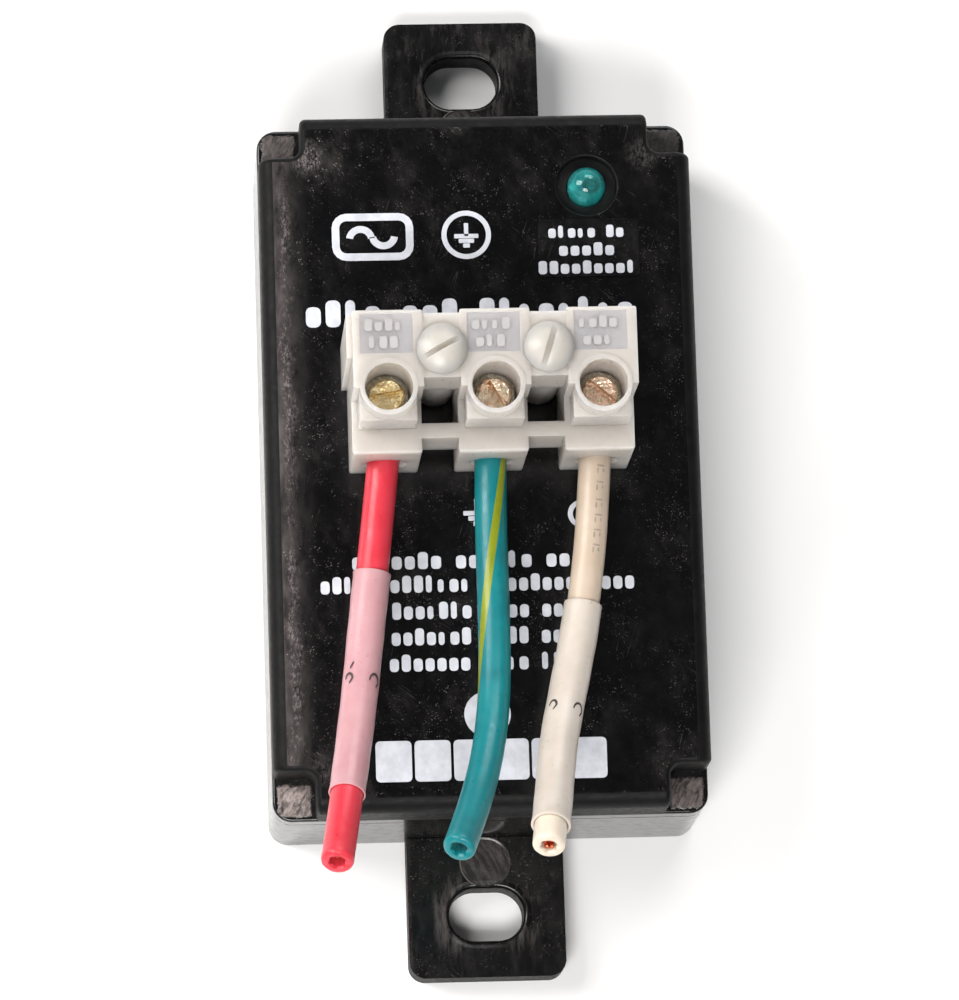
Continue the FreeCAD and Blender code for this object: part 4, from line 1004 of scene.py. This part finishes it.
class Stamp:
    """Flat raised ink shapes on a level surface, a few hundredths of a millimetre thick."""

    def __init__(self, level, thickness=0.015):
        self.builder = bmesh.new()
        self.low = level + 0.001
        self.high = level + thickness

    def slab(self, outline):
        """A filled shape from its corners, given anticlockwise."""
        skin(self.builder, [
            [self.builder.verts.new(Vector((x, y, level)) * MM) for x, y in outline]
            for level in (self.low, self.high)
        ])

    def bar(self, left, low, right, high, corner=0.12):
        """A rectangle with rounded corners."""
        corner = min(corner, (right - left) / 2.01, (high - low) / 2.01)
        self.slab(rounded(left, low, right, high, corner, 3))

    def frame(self, left, low, right, high, weight, corner):
        """A rounded rectangular outline, in pieces that meet edge to edge."""
        outer = rounded(left, low, right, high, corner + weight, 4)
        inner = rounded(left + weight, low + weight, right - weight, high - weight, corner, 4)
        for index in range(len(outer)):
            following = (index + 1) % len(outer)
            self.slab([outer[index], outer[following], inner[following], inner[index]])

    def band(self, x, y, outer, inner, start=0.0, stop=360.0):
        """A ring, or part of one, between two radii."""
        def spot(radius, angle):
            return x + radius * math.cos(angle), y + radius * math.sin(angle)

        whole = stop - start > 359.9
        count = max(8, round((stop - start) / ARC_STEP))
        angles = [math.radians(start + (stop - start) * step / count) for step in range(count + 1)]
        if whole:
            for first, second in zip(angles, angles[1:]):
                corners = ((inner, first), (outer, first), (outer, second), (inner, second))
                self.slab([spot(radius, angle) for radius, angle in corners])
            return
        outline = [spot(outer, angle) for angle in angles]
        self.slab(outline + [spot(inner, angle) for angle in reversed(angles)])

    def joined(self):
        """The builder, with the pieces that meet edge to edge made one."""
        bmesh.ops.remove_doubles(self.builder, verts=self.builder.verts, dist=1e-7)
        return self.builder


WORD_GAP = 0.9


def block_words(stamp, left, right, base, height, words, seed):
    """Word-shaped runs of plain blocks between two margins: it reads as print and says nothing."""
    dice = random.Random(seed)
    total = sum(words) + WORD_GAP * (len(words) - 1)
    unit = (right - left) / total
    x = left
    for count in words:
        for _ in range(count):
            tall = dice.random() < 0.35
            top = base + height * (1.0 if tall else 0.76)
            width = unit * (0.76 if dice.random() < 0.8 else 0.5)
            stamp.bar(x, base, x + width, top, corner=height * 0.2)
            x += unit
        x += unit * WORD_GAP


# left, right, base line and height of each printed row, and how many blocks each word has
PRINTED_ROWS = [
    (-13.6, 12.4, 10.6, 2.15, (4, 3, 8)),
    (-10.5, 8.7, -8.75, 1.35, (7, 6, 4)),
    (-13.0, 11.6, -10.6, 1.35, (5, 7, 13)),
    (-7.5, 7.8, -12.7, 1.35, (7, 4, 4)),
    (-7.6, 7.7, -14.75, 1.35, (7, 4, 4)),
    (-7.8, 7.7, -16.8, 1.35, (7, 4, 4)),
]
LABEL_ROWS = [
    (5.6, 11.7, 17.45, 1.0, (5, 2)),
    (6.4, 10.95, 16.0, 1.05, (5,)),
    (4.75, 12.6, 14.55, 1.05, (9,)),
]


def print_rows(stamp, rows):
    for left, right, base, height, words in rows:
        block_words(stamp, left, right, base, height, words, seed=round(base * 7))


def earth_sign(stamp, x, y, size, weight):
    """A stem over three shortening bars."""
    half = weight / 2
    stamp.bar(x - half, y, x + half, y + size * 0.55, weight * 0.2)
    for row, reach in enumerate((0.5, 0.32, 0.14)):
        level = y - row * size * 0.2
        stamp.bar(x - size * reach, level - half, x + size * reach, level + half, weight * 0.2)


def make_cover_print(paint):
    """White print on the cover, made of generic signs and plain blocks."""
    stamp = Stamp(FACE)
    print_rows(stamp, PRINTED_ROWS)

    # alternating-current sign in a rounded frame, upper left
    stamp.frame(-11.4, 15.9, -5.0, 19.7, 0.6, 0.55)
    stamp.band(-9.15, 17.55, 1.15, 0.6, 10, 170)
    stamp.band(-7.35, 17.95, 1.15, 0.6, 190, 350)

    # protective earth in a ring, upper middle
    stamp.band(-0.85, 17.85, 1.95, 1.55)
    earth_sign(stamp, -0.85, 17.75, 1.9, 0.34)

    # pole signs beside the wires
    earth_sign(stamp, -0.7, -4.4, 2.1, 0.36)
    stamp.band(7.5, -4.6, 1.1, 0.72)

    # plain dot over a row of equal blocks near the lower edge
    stamp.band(-0.35, -20.25, 1.8, 0.0, 0, 359.5)
    for index in range(6):
        left = -9.1 + 3.02 * index
        stamp.bar(left, -25.4, left + 2.8, -22.2, 0.35)
    add_piece("cover_print", stamp.joined(), [paint])


def make_label_print(paint):
    """Three short rows of plain blocks on the label."""
    stamp = Stamp(LABEL_TOP)
    print_rows(stamp, LABEL_ROWS)
    add_piece("label_print", stamp.joined(), [paint])


def make_block_marks(paint):
    """Raised plain blocks in the sunk marking fields on top of each pole."""
    stamp = Stamp(BLOCK_TOP - FIELD_DEPTH, 0.07)
    for index in (-1, 0, 1):
        left = POLE_MIDDLE + POLE_PITCH * index - 1.75
        block_words(stamp, left, left + 3.1, 7.35, 0.95, (4,), seed=5 + index)
        block_words(stamp, left + 0.3, left + 2.7, 6.0, 0.95, (3,), seed=9 + index)
    add_piece("block_marks", stamp.joined(), [paint])


# -------------------- clamp screws

SLOT_ANGLES = {"line": 10.0, "ground": -62.0, "neutral": -40.0}
SCREW_SLOT = 0.5
SCREW_SLOT_DEPTH = 0.75
CROWN = 0.20
THREAD_PITCH = 0.45
THREAD_DEPTH = 0.16

# Each half of a head from its slot's floor to its top: depth below the top, share of the radius,
# and how far the slot's wall stands back.
HEAD_SHELLS = (
    (SCREW_SLOT_DEPTH, 1.0, 0.0), (0.36, 1.0, 0.0), (0.26, 0.955, 0.02), (0.21, 0.86, 0.045),
)
HALF_STEPS = 24


def make_clamp_screw(pole, paint):
    """A turned screw: crowned head halves either side of the driver slot, on a threaded shank."""
    low, high = box_mm(f"clamp_screw_{pole}")
    middle = (low + high) / 2
    radius = (high.x - low.x) / 2
    floor = high.z - SCREW_SLOT_DEPTH
    start = math.asin(SCREW_SLOT / 2 / radius)
    builder = bmesh.new()
    for half in (0, 1):
        spin = math.radians(SLOT_ANGLES[pole]) + math.pi * half
        rings = []
        for depth, share, inset in HEAD_SHELLS:
            ring = []
            for step in range(HALF_STEPS + 1):
                angle = start + (math.pi - 2 * start) * step / HALF_STEPS
                x = radius * share * math.cos(angle)
                y = max(radius * share * math.sin(angle), SCREW_SLOT / 2 + inset)
                rise = CROWN * (1 - (x * x + y * y) / radius ** 2) if share < 0.9 else 0.0
                spot = Vector((
                    middle.x + x * math.cos(spin) - y * math.sin(spin),
                    middle.y + x * math.sin(spin) + y * math.cos(spin),
                    high.z - depth + rise,
                ))
                ring.append(builder.verts.new(spot * MM))
            rings.append(ring)
        skin(builder, rings)

    level = low.z + THREAD_PITCH
    shank = [(radius * 0.7, low.z), (radius, low.z + THREAD_PITCH / 2)]
    while level < floor - 0.3:
        shank += [(radius - THREAD_DEPTH, level), (radius, level + THREAD_PITCH / 2)]
        level += THREAD_PITCH
    shank.append((radius, floor + 0.01))
    rings = [level_ring(builder, middle.x, middle.y, width, rise, 48) for width, rise in shank]
    skin(builder, rings)
    smooth_over(builder.faces)
    add_piece(
        f"screw_{pole}_turned", builder, [paint], body=f"screw_{pole}",
        stands_for=[f"clamp_screw_{pole}"],
    )


def make_screws():
    finishes = {
        "line": ((1.0, 0.94, 0.76), (0.97, 0.86, 0.62)),
        "ground": ((1.0, 0.95, 0.86), (1.0, 0.86, 0.74)),
        "neutral": ((1.0, 0.93, 0.84), (0.98, 0.82, 0.72)),
    }
    for pole, (bright, tarnish) in finishes.items():
        make_clamp_screw(pole, paint_metal(f"screw_brass_{pole}", bright, tarnish, 0.30, 0.45))


# -------------------- pieces inside the case


def per_pole(name):
    return [f"{name}_{pole}" for pole in POLES]


# material, its two colours, roughness and the nodes that have it
INNER_METALS = [
    ("plated_brass", (0.78, 0.76, 0.70), (0.66, 0.62, 0.54), 0.3, per_pole("clamp_cage")),
    ("spring_bronze", (0.72, 0.52, 0.32), (0.55, 0.38, 0.24), 0.3, per_pole("wire_guard")),
    (
        "tinned_lead", (0.78, 0.78, 0.77), (0.62, 0.62, 0.62), 0.35,
        ["indicator_legs", "varistor_legs", "component_legs"] + per_pole("internal_lead"),
    ),
    ("zinc_steel", (0.74, 0.75, 0.77), (0.62, 0.61, 0.55), 0.3, ["board_screws"]),
]
INNER_PLASTICS = [
    (
        "varistor_coating", (0.13, 0.25, 0.55), (0.10, 0.2, 0.47), (0.4, 1, 0.08),
        ["varistor_line_neutral", "varistor_neutral_ground", "varistor_line_ground"],
    ),
    ("fuse_ceramic", (0.88, 0.86, 0.81), (0.82, 0.8, 0.74), (0.2,), ["line_fuse"]),
    (
        "cutoff_coating", (0.80, 0.78, 0.74), (0.74, 0.72, 0.68), (0.4,),
        ["thermal_cutoff_line", "thermal_cutoff_neutral"],
    ),
    ("resistor_coating", (0.78, 0.69, 0.53), (0.7, 0.6, 0.45), (0.4,), ["indicator_resistor"]),
    ("diode_moulding", (0.07, 0.07, 0.07), (0.1, 0.1, 0.1), (0.3,), ["indicator_diode"]),
]


def dress_insides():
    for name, color, tarnish, roughness, nodes in INNER_METALS:
        dress(nodes, paint_metal(name, color, tarnish, roughness))
    board = paint_plastic("board_laminate", (0.10, 0.36, 0.18), (0.08, 0.29, 0.15), 0.3, 1.5)
    board.bump(board.noise(3.0, 2, 0.5, board.stretched((1, 6, 1))), 0.02, 0.4)
    dress(["circuit_board"], board)
    for name, color, shade, finish, nodes in INNER_PLASTICS:
        dress(nodes, paint_plastic(name, color, shade, *finish))


# -------------------- build the scene

place_camera()
light_scene()
lay_floor()
dress(["front_cover"], paint_cover())
dress(["rear_housing"], paint_housing())
satin_wall = paint_satin_wall()
dress_walls("front_cover", satin_wall, lambda spot, normal: abs(normal.z) < FLAT)
dress_walls(
    "rear_housing", satin_wall,
    lambda spot, normal: abs(spot.y) > TAB_START and abs(normal.z) < STEEP,
)
dress_walls(
    "rear_housing", paint_glossy_wall(),
    lambda spot, normal: abs(spot.y) <= TAB_START and spot.z < POST_TOP and abs(normal.z) < STEEP,
)
dress(["status_label"], paint_label())
dress(["indicator_lens"], paint_lens())
make_lamp_core()
nylon = paint_nylon("terminal_nylon", (0.775, 0.75, 0.725), (0.745, 0.725, 0.70))
dress(["terminal_block_body"], nylon)
fixing_nylon = paint_nylon("fixing_nylon", (0.78, 0.755, 0.72), (0.75, 0.725, 0.69))
dress(["block_fixing_screws"], fixing_nylon)
dress_insides()
make_wires()
white_ink = paint_plastic("white_ink", (0.84, 0.85, 0.88), (0.76, 0.77, 0.80), 0.5, 2.0)
make_cover_print(white_ink)
make_label_print(white_ink)
make_block_marks(paint_plastic("raised_nylon", (0.71, 0.70, 0.70), (0.68, 0.67, 0.675), 0.36, 2.0))
make_screws()
